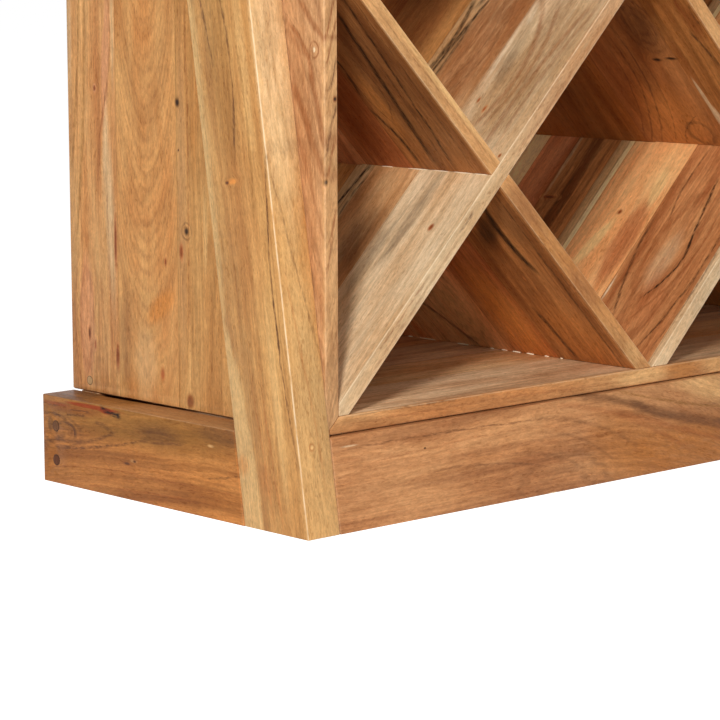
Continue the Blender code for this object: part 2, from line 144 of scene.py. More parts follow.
class Tone(Enum):
    """Named tones of the staves, from pale sapwood to the darkest heartwood."""

    PEARL = Palette((255, 240, 186), (248, 214, 154))
    SAPWOOD = Palette((239, 212, 173), (202, 168, 127))
    BISCUIT = Palette((226, 176, 120), (190, 138, 88))
    PEACH = Palette((226, 182, 132), (188, 136, 88))
    DRIFT = Palette((224, 186, 146), (186, 144, 108))
    ASH = Palette((224, 188, 138), (176, 136, 92))
    STRAW = Palette((224, 173, 110), (184, 134, 80))
    WHEAT = Palette((216, 166, 104), (177, 128, 76))
    HONEY = Palette((227, 173, 110), (189, 131, 77))
    BLUSH = Palette((225, 172, 113), (193, 133, 82))
    ROSE = Palette((202, 153, 108), (166, 118, 80))
    AMBER = Palette((221, 164, 98), (178, 122, 69))
    TANGERINE = Palette((252, 200, 138), (228, 154, 96))
    RUSSET = Palette((216, 152, 98), (164, 100, 60))
    COPPER = Palette((205, 149, 100), (158, 107, 69))
    TOFFEE = Palette((211, 157, 103), (171, 120, 75))
    CHESTNUT = Palette((198, 134, 78), (146, 92, 50))
    COCOA = Palette((204, 138, 76), (152, 97, 50))
    CORAL = Palette((242, 168, 116), (192, 120, 76))
    MAHOGANY = Palette((210, 132, 80), (150, 84, 46))
    WALNUT = Palette((214, 150, 90), (130, 80, 44))
    SEPIA = Palette((198, 132, 76), (157, 98, 54))
    UMBER = Palette((150, 98, 58), (88, 54, 30))


class Ink(Enum):
    """Colours of single marks in the wood, as 8-bit sRGB."""

    BLACK = (38, 25, 17)
    SMOKE = (84, 60, 42)
    BARK = (92, 56, 34)
    OLIVE = (142, 98, 47)
    UMBER = (146, 88, 50)
    GINGER = (178, 111, 48)
    EMBER = (148, 54, 26)
    RUST = (142, 74, 36)
    BRICK = (178, 100, 58)
    SIENNA = (190, 120, 66)
    PINK = (214, 152, 108)
    MAUVE = (184, 136, 92)
    ORANGE = (222, 146, 74)
    FLAME = (236, 188, 128)
    BUTTER = (236, 194, 132)
    CREAM = (232, 204, 160)
    BONE = (246, 222, 184)


@dataclass(frozen=True)
class Sawing:
    """How a stave lies in its log: the pith beside and below its face, and the pith's drift along it."""

    beside: float
    below: float
    drift: float


class Cut(Enum):
    """Ways in which a stave is sawn, which decide whether its grain arches or runs straight."""

    FLAT = Sawing(0.004, 0.016, 0.065)
    CROWN = Sawing(-0.006, 0.026, -0.110)
    BASIN = Sawing(0.002, 0.105, -0.160)
    RIFT = Sawing(0.065, 0.040, 0.020)
    QUARTER = Sawing(0.150, 0.020, 0.012)
    CORNER = Sawing(-0.209, -0.300, 0.340)


class Face(Enum):
    """The pair of grain axes that a mark lies in: along and across, or along and depth."""

    WIDE = 1
    NARROW = 2

    def spot(self, along: float, across: float) -> Triple:
        """A place on the face, given in millimetres, as metres in the board."""
        return (along * MM, across * MM, 0) if self is Face.WIDE else (along * MM, 0, across * MM)


@dataclass(frozen=True)
class Stave:
    """One stave of an edge-glued board.

    Attributes:
        start: its first edge, across the board.
        tone: its colours.
        cut: how it is sawn.
        streak: amount of dark streaks.
        contrast: strength of its growth bands.
        seed: the piece of log it comes from.
    """

    start: float
    tone: Tone
    cut: Cut
    streak: float
    contrast: float
    seed: float


@dataclass(frozen=True)
class GrainFrame:
    """A board's own axes.

    Attributes:
        corner: world place where along, across and depth are zero.
        along: unit direction of the fibres.
        across: unit direction across the staves.
        size: length, width and thickness; depth runs from minus the thickness to zero.
    """

    corner: Triple
    along: Vector
    across: Vector
    size: Triple

    def turn(self) -> Euler:
        """Rotation that brings the world's axes onto the board's."""
        depth = self.along.cross(self.across)
        return Matrix((self.along, self.across, depth)).transposed().to_euler()


class Graph:
    """Adds nodes to one tree and joins them, so that a pattern reads as a sum of its terms."""

    def __init__(self, tree: bpy.types.NodeTree) -> None:
        """Keep the tree that nodes are added to."""
        self.tree = tree

    def feed(self, socket: Socket, value: Value) -> None:
        """Join a socket to a value or set it.

        Args:
            socket: the input.
            value: another node's output, or a number, colour or vector.
        """
        if isinstance(value, Socket):
            self.tree.links.new(value, socket)
        else:
            socket.default_value = value

    def add(self, kind: str, inputs: Inputs | None = None, **settings: object) -> bpy.types.Node:
        """Add a node.

        Args:
            kind: Blender's name of the node type.
            inputs: values or outputs for its inputs, by name or number.
            **settings: the node's own properties.

        Returns:
            The new node.
        """
        node = self.tree.nodes.new(kind)
        for name, value in settings.items():
            setattr(node, name, value)
        for key, value in (inputs or {}).items():
            self.feed(node.inputs[key], value)
        return node

    def out(self, kind: str, inputs: Inputs | None = None, **settings: object) -> Socket:
        """First output of a new node."""
        return self.add(kind, inputs, **settings).outputs[0]

    def math(self, operation: str, *terms: Value) -> Socket:
        """Result of a Math node with its terms in order."""
        return self.out("ShaderNodeMath", dict(enumerate(terms)), operation=operation)

    def times(self, *terms: Value) -> Socket:
        """Product of all terms."""
        return reduce(lambda product, term: self.math("MULTIPLY", product, term), terms)

    def less(self, first: Value, second: Value) -> Socket:
        """The first number less the second."""
        return self.math("SUBTRACT", first, second)

    def plus(self, start: Value, term: Value, weight: Value) -> Socket:
        """A number plus a weighted term."""
        return self.math("MULTIPLY_ADD", term, weight, start)

    def vector(self, operation: str, *terms: Value) -> Socket:
        """Result of a Vector Math node: a vector, or a number where the operation gives one."""
        node = self.add("ShaderNodeVectorMath", dict(enumerate(terms)), operation=operation)
        return node.outputs["Value" if operation == "LENGTH" else "Vector"]

    def scaled(self, place: Value, factor: Value) -> Socket:
        """A vector times a number."""
        return self.out("ShaderNodeVectorMath", {0: place, "Scale": factor}, operation="SCALE")

    def noise(self, place: Value, rates: Sequence[float], detail: float = 2.0, rough: float = 0.5) -> Socket:
        """A noise that changes at its own rates per metre along, across and in depth."""
        spread = {"Vector": self.vector("MULTIPLY", place, rates), "Scale": 1.0}
        return self.out("ShaderNodeTexNoise", spread | {"Detail": detail, "Roughness": rough})

    def fade(self, value: Value, start: float, end: float, low: float = 0.0, high: float = 1.0) -> Socket:
        """A smooth step from low at the start to high at the end."""
        inputs = {0: value, 1: start, 2: end, 3: low, 4: high}
        return self.out("ShaderNodeMapRange", inputs, interpolation_type="SMOOTHSTEP")

    def mix(self, share: Value, first: Value, second: Value, blend: str = "MIX") -> Socket:
        """The first colour with a share of the second."""
        node = self.add("ShaderNodeMix", {0: share, 6: first, 7: second}, data_type="RGBA", blend_type=blend)
        return node.outputs[2]

    def parts(self, place: Value) -> tuple[Socket, Socket, Socket]:
        """The three numbers of a vector."""
        node = self.add("ShaderNodeSeparateXYZ", {0: place})
        return node.outputs[0], node.outputs[1], node.outputs[2]

    def joined(self, *terms: Value) -> Socket:
        """A vector of three numbers."""
        return self.out("ShaderNodeCombineXYZ", dict(enumerate(terms)))

    def surface(self, bump: dict[str, Value], shader: dict[str, Value]) -> None:
        """End a material in one shader with a bumpy surface.

        Args:
            bump: inputs of the bump node.
            shader: inputs of the shader, beside the normal.
        """
        normal = self.out("ShaderNodeBump", bump)
        skin = self.out("ShaderNodeBsdfPrincipled", shader | {"Normal": normal})
        self.add("ShaderNodeOutputMaterial", {"Surface": skin})


def add_sockets(tree: bpy.types.NodeTree, way: str, sockets: dict[str, str]) -> None:
    """Give a node tree its inputs or outputs, as socket types by name."""
    for name, kind in sockets.items():
        tree.interface.new_socket(name, in_out=way, socket_type=kind)


def blank_material(name: str) -> tuple[Material, Graph]:
    """A material without nodes.

    Args:
        name: the material's name.

    Returns:
        The material and its graph.
    """
    material = bpy.data.materials.new(name)
    material.use_nodes = True
    material.node_tree.nodes.clear()
    return material, Graph(material.node_tree)


class Paint:
    """A board's colour while marks are laid on it, and the noises that break up their edges and bodies."""

    def __init__(self, graph: Graph, place: Socket, colour: Socket) -> None:
        """Start with the colour of the figure.

        Args:
            graph: the material's graph.
            place: place in the board.
            colour: the figure's colour.
        """
        self.graph = graph
        self.place = place
        self.colour = colour
        self.edge = graph.less(graph.noise(place, (26, 150, 150), 5.0, 0.68), 0.5)
        self.body = graph.noise(place, (110, 460, 460), 2.0, 0.6)

    def cover(self, share: Socket, ink: Ink) -> None:
        """Lay a share of an ink over the colour."""
        self.colour = self.graph.mix(share, self.colour, linear(ink.value))


@dataclass(frozen=True)
class Oval:
    """A mark's middle and half sizes, in millimetres along and across its face."""

    along: float
    across: float
    length: float
    width: float
    face: Face = field(default=Face.WIDE, kw_only=True)

    def offset(self, graph: Graph, place: Socket) -> Socket:
        """Way from the middle to a place in the board."""
        return graph.vector("SUBTRACT", place, self.face.spot(self.along, self.across))

    def gap(self, graph: Graph, offset: Socket, spread: float = 1.0) -> Socket:
        """Distance from the middle, which is one on the outline.

        Args:
            graph: the material's graph.
            offset: way from the middle.
            spread: how much larger the outline is drawn.

        Returns:
            The distance.
        """
        length = 1 / (self.length * MM * spread)
        width = 1 / (self.width * MM * spread)
        behind = 1 / (NARROW_DEPTH * spread)
        reach = (length, width, 0) if self.face is Face.WIDE else (length, behind, width)
        return graph.vector("LENGTH", graph.vector("MULTIPLY", offset, reach))

    def ragged(self, paint: Paint, amount: float) -> Socket:
        """Distance from the middle with a broken outline."""
        gap = self.gap(paint.graph, self.offset(paint.graph, paint.place))
        return paint.graph.plus(gap, paint.edge, amount)


@dataclass(frozen=True)
class Knot(Oval):
    """An oval knot that the grain flows round, with its two colours."""

    core: Ink
    halo: Ink

    def lay(self, paint: Paint) -> None:
        """Draw a halo and a core.

        Args:
            paint: the board's colour.
        """
        gap = self.ragged(paint, 0.55)
        paint.cover(paint.graph.fade(gap, 1.35, 0.55, 0.0, 0.75), self.halo)
        paint.cover(paint.graph.fade(gap, 0.80, 0.30, 0.0, 0.92), self.core)


@dataclass(frozen=True)
class Patch(Oval):
    """An oval of another colour, with its strength, turn and softness of its edge."""

    ink: Ink
    strength: float
    turn: float = 0.0
    soft: float = 0.8

    def lay(self, paint: Paint) -> None:
        """Tint the oval.

        Args:
            paint: the board's colour.
        """
        graph = paint.graph
        offset = self.offset(graph, paint.place)
        if self.turn:
            inputs = {"Vector": offset, "Rotation": (0, 0, -self.turn)}
            offset = graph.out("ShaderNodeMapping", inputs, vector_type="POINT")
        gap = graph.plus(self.gap(graph, offset), paint.edge, 0.1 + self.soft)
        share = graph.fade(gap, 1 + self.soft * 0.19, 1 - self.soft * 0.81, 0.0, self.strength)
        broken = graph.fade(paint.edge, -0.20, 0.06, 1 - self.soft * 0.55, 1.0)
        paint.cover(graph.times(share, broken), self.ink)


@dataclass(frozen=True)
class Swirl(Oval):
    """Concentric rings of curly grain, with their count, colour and strength."""

    rings: float
    ink: Ink
    strength: float

    def lay(self, paint: Paint) -> None:
        """Draw the rings, which fade out towards their middle.

        Args:
            paint: the board's colour.
        """
        graph = paint.graph
        gap = self.ragged(paint, 0.45)
        wave = graph.math("SINE", graph.times(gap, self.rings * math.tau))
        inside = graph.fade(gap, 1.15, 0.75, 0.0, self.strength)
        broken = graph.fade(paint.edge, -0.14, 0.10, 0.25, 1.0)
        open_middle = graph.fade(gap, 0.12, 0.40)
        paint.cover(graph.times(graph.fade(wave, -0.1, 0.9), inside, broken, open_middle), self.ink)


@dataclass(frozen=True)
class Arches(Oval):
    """Nested arches of flat-sawn grain, with their pitch, bend per metre, colour and strength."""

    pitch: float
    bend: float
    ink: Ink
    strength: float

    def lay(self, paint: Paint) -> None:
        """Draw the arches as broken lines.

        Args:
            paint: the board's colour.
        """
        graph = paint.graph
        pitch = self.pitch * MM
        offset = self.offset(graph, paint.place)
        along, across, _ = graph.parts(offset)
        level = graph.less(along, graph.times(across, across, self.bend))
        wave = graph.math("SINE", graph.times(graph.plus(level, paint.edge, pitch * 1.1), math.tau / pitch))
        inside = graph.fade(self.gap(graph, offset), 1.1, 0.7, 0.0, self.strength)
        broken = graph.fade(paint.body, 0.40, 0.60, 0.2, 1.0)
        paint.cover(graph.times(graph.fade(wave, 0.15, 0.95), inside, broken), self.ink)


@dataclass(frozen=True)
class Line:
    """A bowed line of the grain.

    Attributes:
        start, low: along and across of its start, in millimetres like all its sizes.
        between, middle: the same of a place on it.
        end, high: the same of its end.
        width: its half width.
        ink: its colour.
        strength: how much it covers.
        face: the face that it lies on.
    """

    start: float
    low: float
    between: float
    middle: float
    end: float
    high: float
    width: float
    ink: Ink = Ink.BLACK
    strength: float = 0.7
    face: Face = Face.WIDE

    @classmethod
    def bowed(
        cls,
        centre: Place,
        reach: float,
        width: float,
        slope: float,
        bow: float,
        ink: Ink = Ink.BLACK,
        strength: float = 0.7,
    ) -> "Line":
        """The line with a given slope and bow.

        Args:
            centre: along and across of its middle.
            reach: how far from there it has faded out.
            width: its half width.
            slope: its slope in the middle.
            bow: its bow per metre.
            ink: its colour.
            strength: how much it covers.

        Returns:
            The line.
        """
        along, across = centre
        half = reach / LINE_OVERRUN / 2
        low, high = (across + slope * side + bow * MM * side * side for side in (-half, half))
        return cls(along - half, low, along, across, along + half, high, width, ink, strength)

    def curve(self) -> tuple[float, float, float, float]:
        """The parabola through the three places.

        Returns:
            Along and across of its middle in millimetres, its slope there and its bow per metre.
        """
        first_rise = (self.middle - self.low) / (self.between - self.start)
        bow = ((self.high - self.middle) / (self.end - self.between) - first_rise) / (self.end - self.start)
        centre = (self.start + self.end) / 2
        across = self.low + (centre - self.start) * (first_rise + bow * (centre - self.between))
        return centre, across, first_rise + bow * (self.end - self.between), bow / MM

    def lay(self, paint: Paint) -> None:
        """Draw the line, which fades out beyond its ends.

        Args:
            paint: the board's colour.
        """
        graph = paint.graph
        width = self.width * MM
        reach = (self.end - self.start) * LINE_OVERRUN * MM
        centre, across, slope, bow = self.curve()
        axes = graph.parts(graph.vector("SUBTRACT", paint.place, self.face.spot(centre, across)))
        bent = graph.times(axes[0], graph.plus(slope, axes[0], bow))
        away = graph.plus(graph.less(axes[self.face.value], bent), paint.edge, LINE_WANDER)
        body = graph.fade(graph.math("ABSOLUTE", away), width, width * 0.15, 0.0, self.strength)
        ends = graph.fade(graph.math("ABSOLUTE", axes[0]), reach, reach * 0.6)
        whole = min(0.85, 0.10 + width * WHOLE_LINES)
        share = graph.times(body, ends, graph.fade(paint.body, 0.36, 0.58, whole, 1.0))
        if self.face is Face.NARROW:
            share = graph.times(share, graph.fade(axes[1], NARROW_DEPTH, NARROW_DEPTH / 3))
        paint.cover(share, self.ink)


Mark = Knot | Patch | Swirl | Arches | Line
Look = tuple[tuple[Stave, ...], tuple[Mark, ...]]


class WoodFigure:
    """The figure shared by every stave: growth rings about a pith, clouds, dark veins, fibres and pores."""

    NAME = "wood_figure"
    WANDER = 0.026
    WAVER = 0.006
    CURL = 0.016
    BAND_RATE = 105.0
    FINE_RATE = 340.0
    VEIN_RATE = 42.0
    STREAK_RATE = 66.0
    VEIN_WIDTH = 0.020
    STROKE_RATES = (34.0, 240.0, 240.0)
    SPECKLE_RATES = (150.0, 420.0, 420.0)
    PORE_RATES = (130.0, 520.0, 520.0)
    LOG_LENGTH = 2.7

    def __init__(self) -> None:
        """Build the node group, with a colour, a grain to multiply it by and a height as its outputs."""
        self.tree = bpy.data.node_groups.new(self.NAME, "ShaderNodeTree")
        number = "NodeSocketFloat"
        colour = "NodeSocketColor"
        inputs = {"Place": "NodeSocketVector", "Pith": "NodeSocketVector", "Seed": number}
        inputs |= {"Light": colour, "Dark": colour, "Streak": number, "Contrast": number}
        add_sockets(self.tree, "INPUT", inputs)
        add_sockets(self.tree, "OUTPUT", {"Color": colour, "Grain": colour, "Height": number})
        self.graph = Graph(self.tree)
        self.given = self.graph.add("NodeGroupInput").outputs
        self.along, self.across, self.depth = self.graph.parts(self.given["Place"])
        shifted = self.graph.plus(self.along, self.given["Seed"], self.LOG_LENGTH)
        self.log = self.graph.joined(shifted, self.across, self.depth)
        self.waver = self.graph.less(self.graph.noise(self.log, (13, 48, 48), 3.0, 0.6), 0.5)
        self.radius = self.ring_radius()
        clouds = self.graph.noise(self.log, (5.5, 26, 26), 3.0, 0.6)
        colour = self.tinted(clouds)
        grain, height = self.fibres(clouds)
        self.graph.add("NodeGroupOutput", {"Color": colour, "Grain": grain, "Height": height})

    def tinted(self, clouds: Socket) -> Socket:
        """Colour of the growth bands, reddened in clouds and streaked.

        Args:
            clouds: the noise of the clouds.

        Returns:
            The colour.
        """
        graph = self.graph
        given = self.given
        bands = self.rings(self.BAND_RATE, 2.2, 3.0, given["Seed"])
        tone = graph.plus(graph.plus(0.5, graph.less(bands, 0.5), 1.45), graph.less(clouds, 0.5), 1.35)
        tone = graph.plus(0.5, graph.less(tone, 0.5), given["Contrast"])
        colour = graph.mix(graph.fade(tone, 0.10, 0.90), given["Light"], given["Dark"])
        redness = graph.fade(graph.parts(clouds.node.outputs["Color"])[0], 0.35, 0.68, 0.0, 0.8)
        colour = graph.mix(redness, colour, (1.03, 0.93, 0.84, 1.0), "MULTIPLY")
        ink = graph.mix(1.0, given["Dark"], (0.30, 0.24, 0.20, 1.0), "MULTIPLY")
        return graph.mix(self.veins(), colour, ink)

    def fibres(self, clouds: Socket) -> tuple[Socket, Socket]:
        """Strokes of pale and dark fibres, specks, pores and a faint ripple across the grain.

        Args:
            clouds: where the wood is more open.

        Returns:
            A colour to multiply by, and the height of the surface.
        """
        graph = self.graph
        curl = graph.times(self.waver, self.CURL)
        log = graph.vector("ADD", self.log, graph.joined(0.0, curl, curl))
        fine = self.rings(self.FINE_RATE, 6.0, 2.0, self.given["Seed"])
        strokes = graph.noise(log, self.STROKE_RATES, 4.0, 0.75)
        share = graph.plus(0.5, graph.less(graph.fade(strokes, 0.34, 0.66), 0.5), self.given["Contrast"])
        grain = graph.mix(share, (1.12, 1.12, 1.11, 1.0), (0.89, 0.85, 0.79, 1.0))
        specks = graph.noise(log, self.SPECKLE_RATES, 3.0, 0.8)
        grain = graph.scaled(grain, graph.fade(specks, 0.25, 0.75, 1.15, 0.87))
        grain = graph.scaled(grain, graph.fade(fine, 0.30, 0.70, 1.08, 0.90))
        pores = graph.fade(graph.noise(log, self.PORE_RATES, 1.0), 0.58, 0.67)
        open_wood = graph.fade(clouds, 0.35, 0.65, 0.30, 0.65)
        pitted = graph.times(pores, open_wood, graph.fade(fine, 0.40, 0.62, 0.45, 1.0))
        grain = graph.mix(pitted, grain, (0.60, 0.48, 0.38, 1.0))
        grain = graph.scaled(grain, graph.fade(graph.noise(log, (95, 22, 22), 1.0), 0.2, 0.8, 0.965, 1.035))
        return grain, graph.plus(strokes, pores, -0.6)

    def veins(self) -> Socket:
        """Share of dark: thin veins that follow the rings, broken up along the board, and broad streaks.

        Returns:
            The share.
        """
        graph = self.graph
        seed = graph.math("ADD", self.given["Seed"], 0.48)
        field = self.rings(self.VEIN_RATE, 1.5, 2.0, seed)
        off_line = graph.math("ABSOLUTE", graph.less(field, 0.5))
        thin = graph.fade(off_line, self.VEIN_WIDTH, self.VEIN_WIDTH * 0.15)
        broken = graph.fade(graph.noise(self.log, (7, 34, 34)), 0.50, 0.66)
        broad = graph.fade(self.rings(self.STREAK_RATE, 1.0, 4.0, seed), 0.60, 0.72, 0.0, 0.7)
        return graph.times(graph.math("MAXIMUM", graph.times(thin, broken), broad), self.given["Streak"])

    def ring_radius(self) -> Socket:
        """Distance from the pith, which wanders like a grown stem.

        Returns:
            The distance in metres.
        """
        graph = self.graph
        beside, below, drift = graph.parts(self.given["Pith"])
        wander = graph.noise(self.log, (2.2, 9, 9)).node.outputs["Color"]
        bend_across, bend_depth, _ = graph.parts(graph.vector("SUBTRACT", wander, (0.5, 0.5, 0.5)))
        from_side = graph.plus(graph.less(self.across, beside), bend_across, self.WANDER)
        from_below = graph.plus(graph.math("ADD", self.depth, below), drift, self.along)
        from_below = graph.plus(from_below, bend_depth, self.WANDER)
        aside = [graph.plus(way, self.waver, self.WAVER) for way in (from_side, from_below)]
        return graph.vector("LENGTH", graph.joined(*aside, 0.0))

    def rings(self, rate: float, along_rate: float, detail: float, seed: Socket) -> Socket:
        """A noise that runs with the rings.

        Args:
            rate: changes per metre of radius.
            along_rate: changes per metre along the board.
            detail: number of finer octaves.
            seed: the piece of log.

        Returns:
            The noise's value.
        """
        graph = self.graph
        axes = (graph.times(self.radius, rate), graph.times(self.along, along_rate), graph.times(seed, 9.0))
        return graph.noise(graph.joined(*axes), (1, 1, 1), detail, 0.58)


@dataclass(frozen=True)
class WoodFinish:
    """A satin wood finish for one board.

    Attributes:
        name: the material's name.
        frame: the board's grain axes.
        staves: its staves from the first edge on.
        marks: its single knots, patches and lines.
        roughness: mean roughness of the surface.
        relief: depth of the bump in metres.
        arris_wear_and_highlight: how much paler the arrises are, from wear and from a painted highlight
            along them.
        sheen: strength of the reflections.
        sweep: where the grain starts to sweep down along the board, and how fast.
    """

    name: str
    frame: GrainFrame
    staves: tuple[Stave, ...]
    marks: tuple[Mark, ...]
    roughness: float = 0.46
    relief: float = 0.0004
    arris_wear_and_highlight: float = 0.45
    sheen: float = 0.16
    sweep: Place = (0.0, 0.0)

    def material(self) -> Material:
        """Build the material, or find it if it is there.

        Returns:
            A node material that reads object coordinates.
        """
        if self.name in bpy.data.materials:
            return bpy.data.materials[self.name]
        material, graph = blank_material(self.name)
        source = graph.add("ShaderNodeTexCoord").outputs["Object"]
        board = {"Vector": source, "Location": self.frame.corner, "Rotation": self.frame.turn()}
        place = graph.out("ShaderNodeMapping", board, vector_type="TEXTURE")
        figure = self.figure(graph, place).outputs
        paint = Paint(graph, place, figure["Color"])
        for kind in (Patch, Swirl, Arches, Line, Knot):
            for mark in self.marks:
                if isinstance(mark, kind):
                    mark.lay(paint)
        paint.colour = graph.vector("MULTIPLY", paint.colour, figure["Grain"])
        self.draw_seams(paint)
        self.pale_arrises_by_wear_and_highlight(paint)
        height = figure["Height"]
        rough = graph.fade(height, 0.0, 0.7, self.roughness + 0.10, self.roughness - 0.06)
        shader = {"Base Color": paint.colour, "Roughness": rough, "Specular IOR Level": self.sheen}
        graph.surface({"Strength": 0.5, "Distance": self.relief, "Height": height}, shader)
        return material

    def stave_values(
        self, graph: Graph, share: Socket, values: Sequence[Sequence[float]]
    ) -> tuple[Socket, Socket]:
        """Four numbers that change from stave to stave.

        Args:
            graph: the material's graph.
            share: place across the board from 0 to 1.
            values: the four numbers of each stave.

        Returns:
            The first three as a colour, and the fourth.
        """
        node = graph.add("ShaderNodeValToRGB", {0: share})
        ramp = node.color_ramp
        ramp.interpolation = "CONSTANT"
        ramp.elements.remove(ramp.elements[1])
        for stave, four in zip(self.staves, values):
            at = stave.start / self.frame.size[1]
            element = ramp.elements[0] if stave is self.staves[0] else ramp.elements.new(at)
            element.position = at
            element.color = four
        return node.outputs["Color"], node.outputs["Alpha"]

    def figure(self, graph: Graph, place: Socket) -> bpy.types.Node:
        """The growth figure of every stave, flowing round the knots.

        Args:
            graph: the material's graph.
            place: place in the board.

        Returns:
            The figure's group node.
        """
        share = graph.math("DIVIDE", graph.parts(place)[1], self.frame.size[1])
        ends = [stave.start for stave in self.staves[1:]] + [self.frame.size[1]]
        pith = []
        for stave, end in zip(self.staves, ends):
            sawing = stave.cut.value
            middle = (stave.start + end) / 2
            pith.append((middle + sawing.beside + 1, sawing.below + 1, sawing.drift + 1, stave.seed))
        light = [linear(stave.tone.value.light)[:3] + (stave.streak,) for stave in self.staves]
        dark = [linear(stave.tone.value.dark)[:3] + (stave.contrast,) for stave in self.staves]
        inputs = {"Place": self.flowing(graph, place)}
        ramps = {("Pith", "Seed"): pith, ("Light", "Streak"): light, ("Dark", "Contrast"): dark}
        for names, values in ramps.items():
            inputs |= dict(zip(names, self.stave_values(graph, share, values)))
        inputs["Pith"] = graph.vector("SUBTRACT", inputs["Pith"], (1, 1, 1))
        tree = bpy.data.node_groups.get(WoodFigure.NAME) or WoodFigure().tree
        return graph.add("ShaderNodeGroup", inputs, node_tree=tree)

    def flowing(self, graph: Graph, place: Socket) -> Socket:
        """Place in the board with the grain swept down and pushed aside at each knot.

        Args:
            graph: the material's graph.
            place: place in the board.

        Returns:
            The shifted place.
        """
        start, fall = self.sweep
        if fall:
            beyond = graph.math("MAXIMUM", graph.less(graph.parts(place)[0], start), 0.0)
            drop = graph.times(beyond, beyond, fall)
            place = graph.vector("ADD", place, graph.joined(0.0, drop, 0.0))
        for knot in self.marks:
            if isinstance(knot, Knot):
                offset = knot.offset(graph, place)
                push = graph.fade(knot.gap(graph, offset, KNOT_PUSH), 1.2, 0.1, 0.0, 0.75)
                aside = (0, 1, 0) if knot.face is Face.WIDE else (0, 0, 1)
                away = graph.scaled(graph.vector("MULTIPLY", offset, aside), push)
                place = graph.vector("SUBTRACT", place, away)
        return place

    def draw_seams(self, paint: Paint) -> None:
        """Draw a fine dark glue line between the staves.

        Args:
            paint: the board's colour.
        """
        graph = paint.graph
        across = graph.parts(paint.place)[1]
        for stave in self.staves[1:]:
            if stave.start > EDGE_BAND:
                away = graph.math("ABSOLUTE", graph.less(across, stave.start))
                share = graph.fade(away, SEAM_WIDTH, SEAM_WIDTH / 4, 0.0, 0.6)
                paint.colour = graph.mix(share, paint.colour, (0.62, 0.52, 0.44, 1.0), "MULTIPLY")

    def pale_arrises_by_wear_and_highlight(self, paint: Paint) -> None:
        """Pale the arrises, partly as rubbed wear and partly as a painted highlight that they catch.

        Args:
            paint: the board's colour.
        """
        graph = paint.graph
        length, width, thickness = self.frame.size
        middle = (length / 2, width / 2, -thickness / 2)
        inward = graph.vector("ABSOLUTE", graph.vector("SUBTRACT", paint.place, middle))
        margins = graph.parts(graph.vector("SUBTRACT", (length / 2, width / 2, thickness / 2), inward))
        near = graph.math("MINIMUM", margins[1], margins[2])
        far = graph.math("MAXIMUM", margins[1], margins[2])
        to_edge = graph.math("MAXIMUM", near, graph.math("MINIMUM", far, margins[0]))
        # Bone ink along every arris: partly wear, partly a painted highlight.
        rubbed_and_lit = graph.fade(graph.noise(paint.place, (40, 300, 300)), 0.25, 0.6)
        paint.cover(graph.times(graph.fade(to_edge, 0.0016, 0.0003, 0.0, self.arris_wear_and_highlight), rubbed_and_lit), Ink.BONE)


@dataclass(frozen=True)
class PlugFinish:
    """Wood of the plugs and dowels: each plug has its own shade, and a dark ring of glue at its rim."""

    name: str
    pale: Colour
    deep: Colour
    rim: Colour = (62, 42, 28)

    def material(self) -> Material:
        """Build the material.

        Returns:
            A node material that reads object coordinates and the fastener's own attributes.
        """
        material, graph = blank_material(self.name)
        source = graph.add("ShaderNodeTexCoord").outputs["Object"]
        shade = graph.add("ShaderNodeAttribute", attribute_name="shade").outputs["Fac"]
        edge = graph.add("ShaderNodeAttribute", attribute_name="rim").outputs["Fac"]
        fibre = graph.noise(source, (700, 700, 160), 3.0, 0.6)
        tone = graph.plus(shade, graph.less(fibre, 0.5), 0.7)
        colour = graph.mix(graph.fade(tone, 0.0, 1.0), linear(self.pale), linear(self.deep))
        colour = graph.mix(graph.fade(edge, 0.80, 0.98, 0.0, 0.8), colour, linear(self.rim))
        rough = graph.fade(fibre, 0.3, 0.7, 0.58, 0.46)
        shader = {"Base Color": colour, "Roughness": rough, "Specular IOR Level": 0.16}
        graph.surface({"Strength": 0.4, "Distance": 0.0002, "Height": fibre}, shader)
        return material


@dataclass(frozen=True)
class SteelFinish:
    """Zinc-plated steel, brushed by its making and dulled by handling."""

    name: str = "zinc_plated_steel"
    bright: Colour = (206, 202, 190)
    dull: Colour = (150, 146, 136)

    def material(self) -> Material:
        """Build the material.

        Returns:
            A node material that reads object coordinates.
        """
        material, graph = blank_material(self.name)
        source = graph.add("ShaderNodeTexCoord").outputs["Object"]
        cloud = graph.noise(source, (420, 420, 420), 3.0)
        scratch = graph.noise(source, (300, 5200, 5200))
        colour = graph.mix(graph.fade(cloud, 0.35, 0.65), linear(self.bright), linear(self.dull))
        rough = graph.fade(scratch, 0.3, 0.7, 0.28, 0.46)
        shader = {"Base Color": colour, "Roughness": rough, "Metallic": 1.0}
        graph.surface({"Strength": 0.3, "Distance": 0.0001, "Height": scratch}, shader)
        return material


@dataclass(frozen=True)
class Measures:
    """Main places of the cabinet in metres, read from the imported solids."""

    inner_x: float
    case_x: float
    outer_x: float
    case_front: float
    case_back: float
    case_bottom: float
    floor_top: float
    ceiling: float
    case_top: float
    foot_front: float
    lattice_back: float

    @classmethod
    def from_frame(cls) -> "Measures":
        """Read the places from the boxes of the boards.

        Returns:
            The cabinet's measures.
        """
        side_low, side_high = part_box("side_panel_left")
        post_low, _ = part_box("post_left")
        return cls(
            inner_x=-side_high.x,
            case_x=-side_low.x,
            outer_x=-post_low.x,
            case_front=side_low.y,
            case_back=side_high.y,
            case_bottom=side_low.z,
            floor_top=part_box("case_floor")[1].z,
            ceiling=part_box("case_top")[0].z,
            case_top=side_high.z,
            foot_front=post_low.y,
            lattice_back=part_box("lattice_rising_long")[1].y,
        )


def link(piece: Object) -> Object:
    """Put an object into the scene and hand it back."""
    bpy.context.scene.collection.objects.link(piece)
    return piece


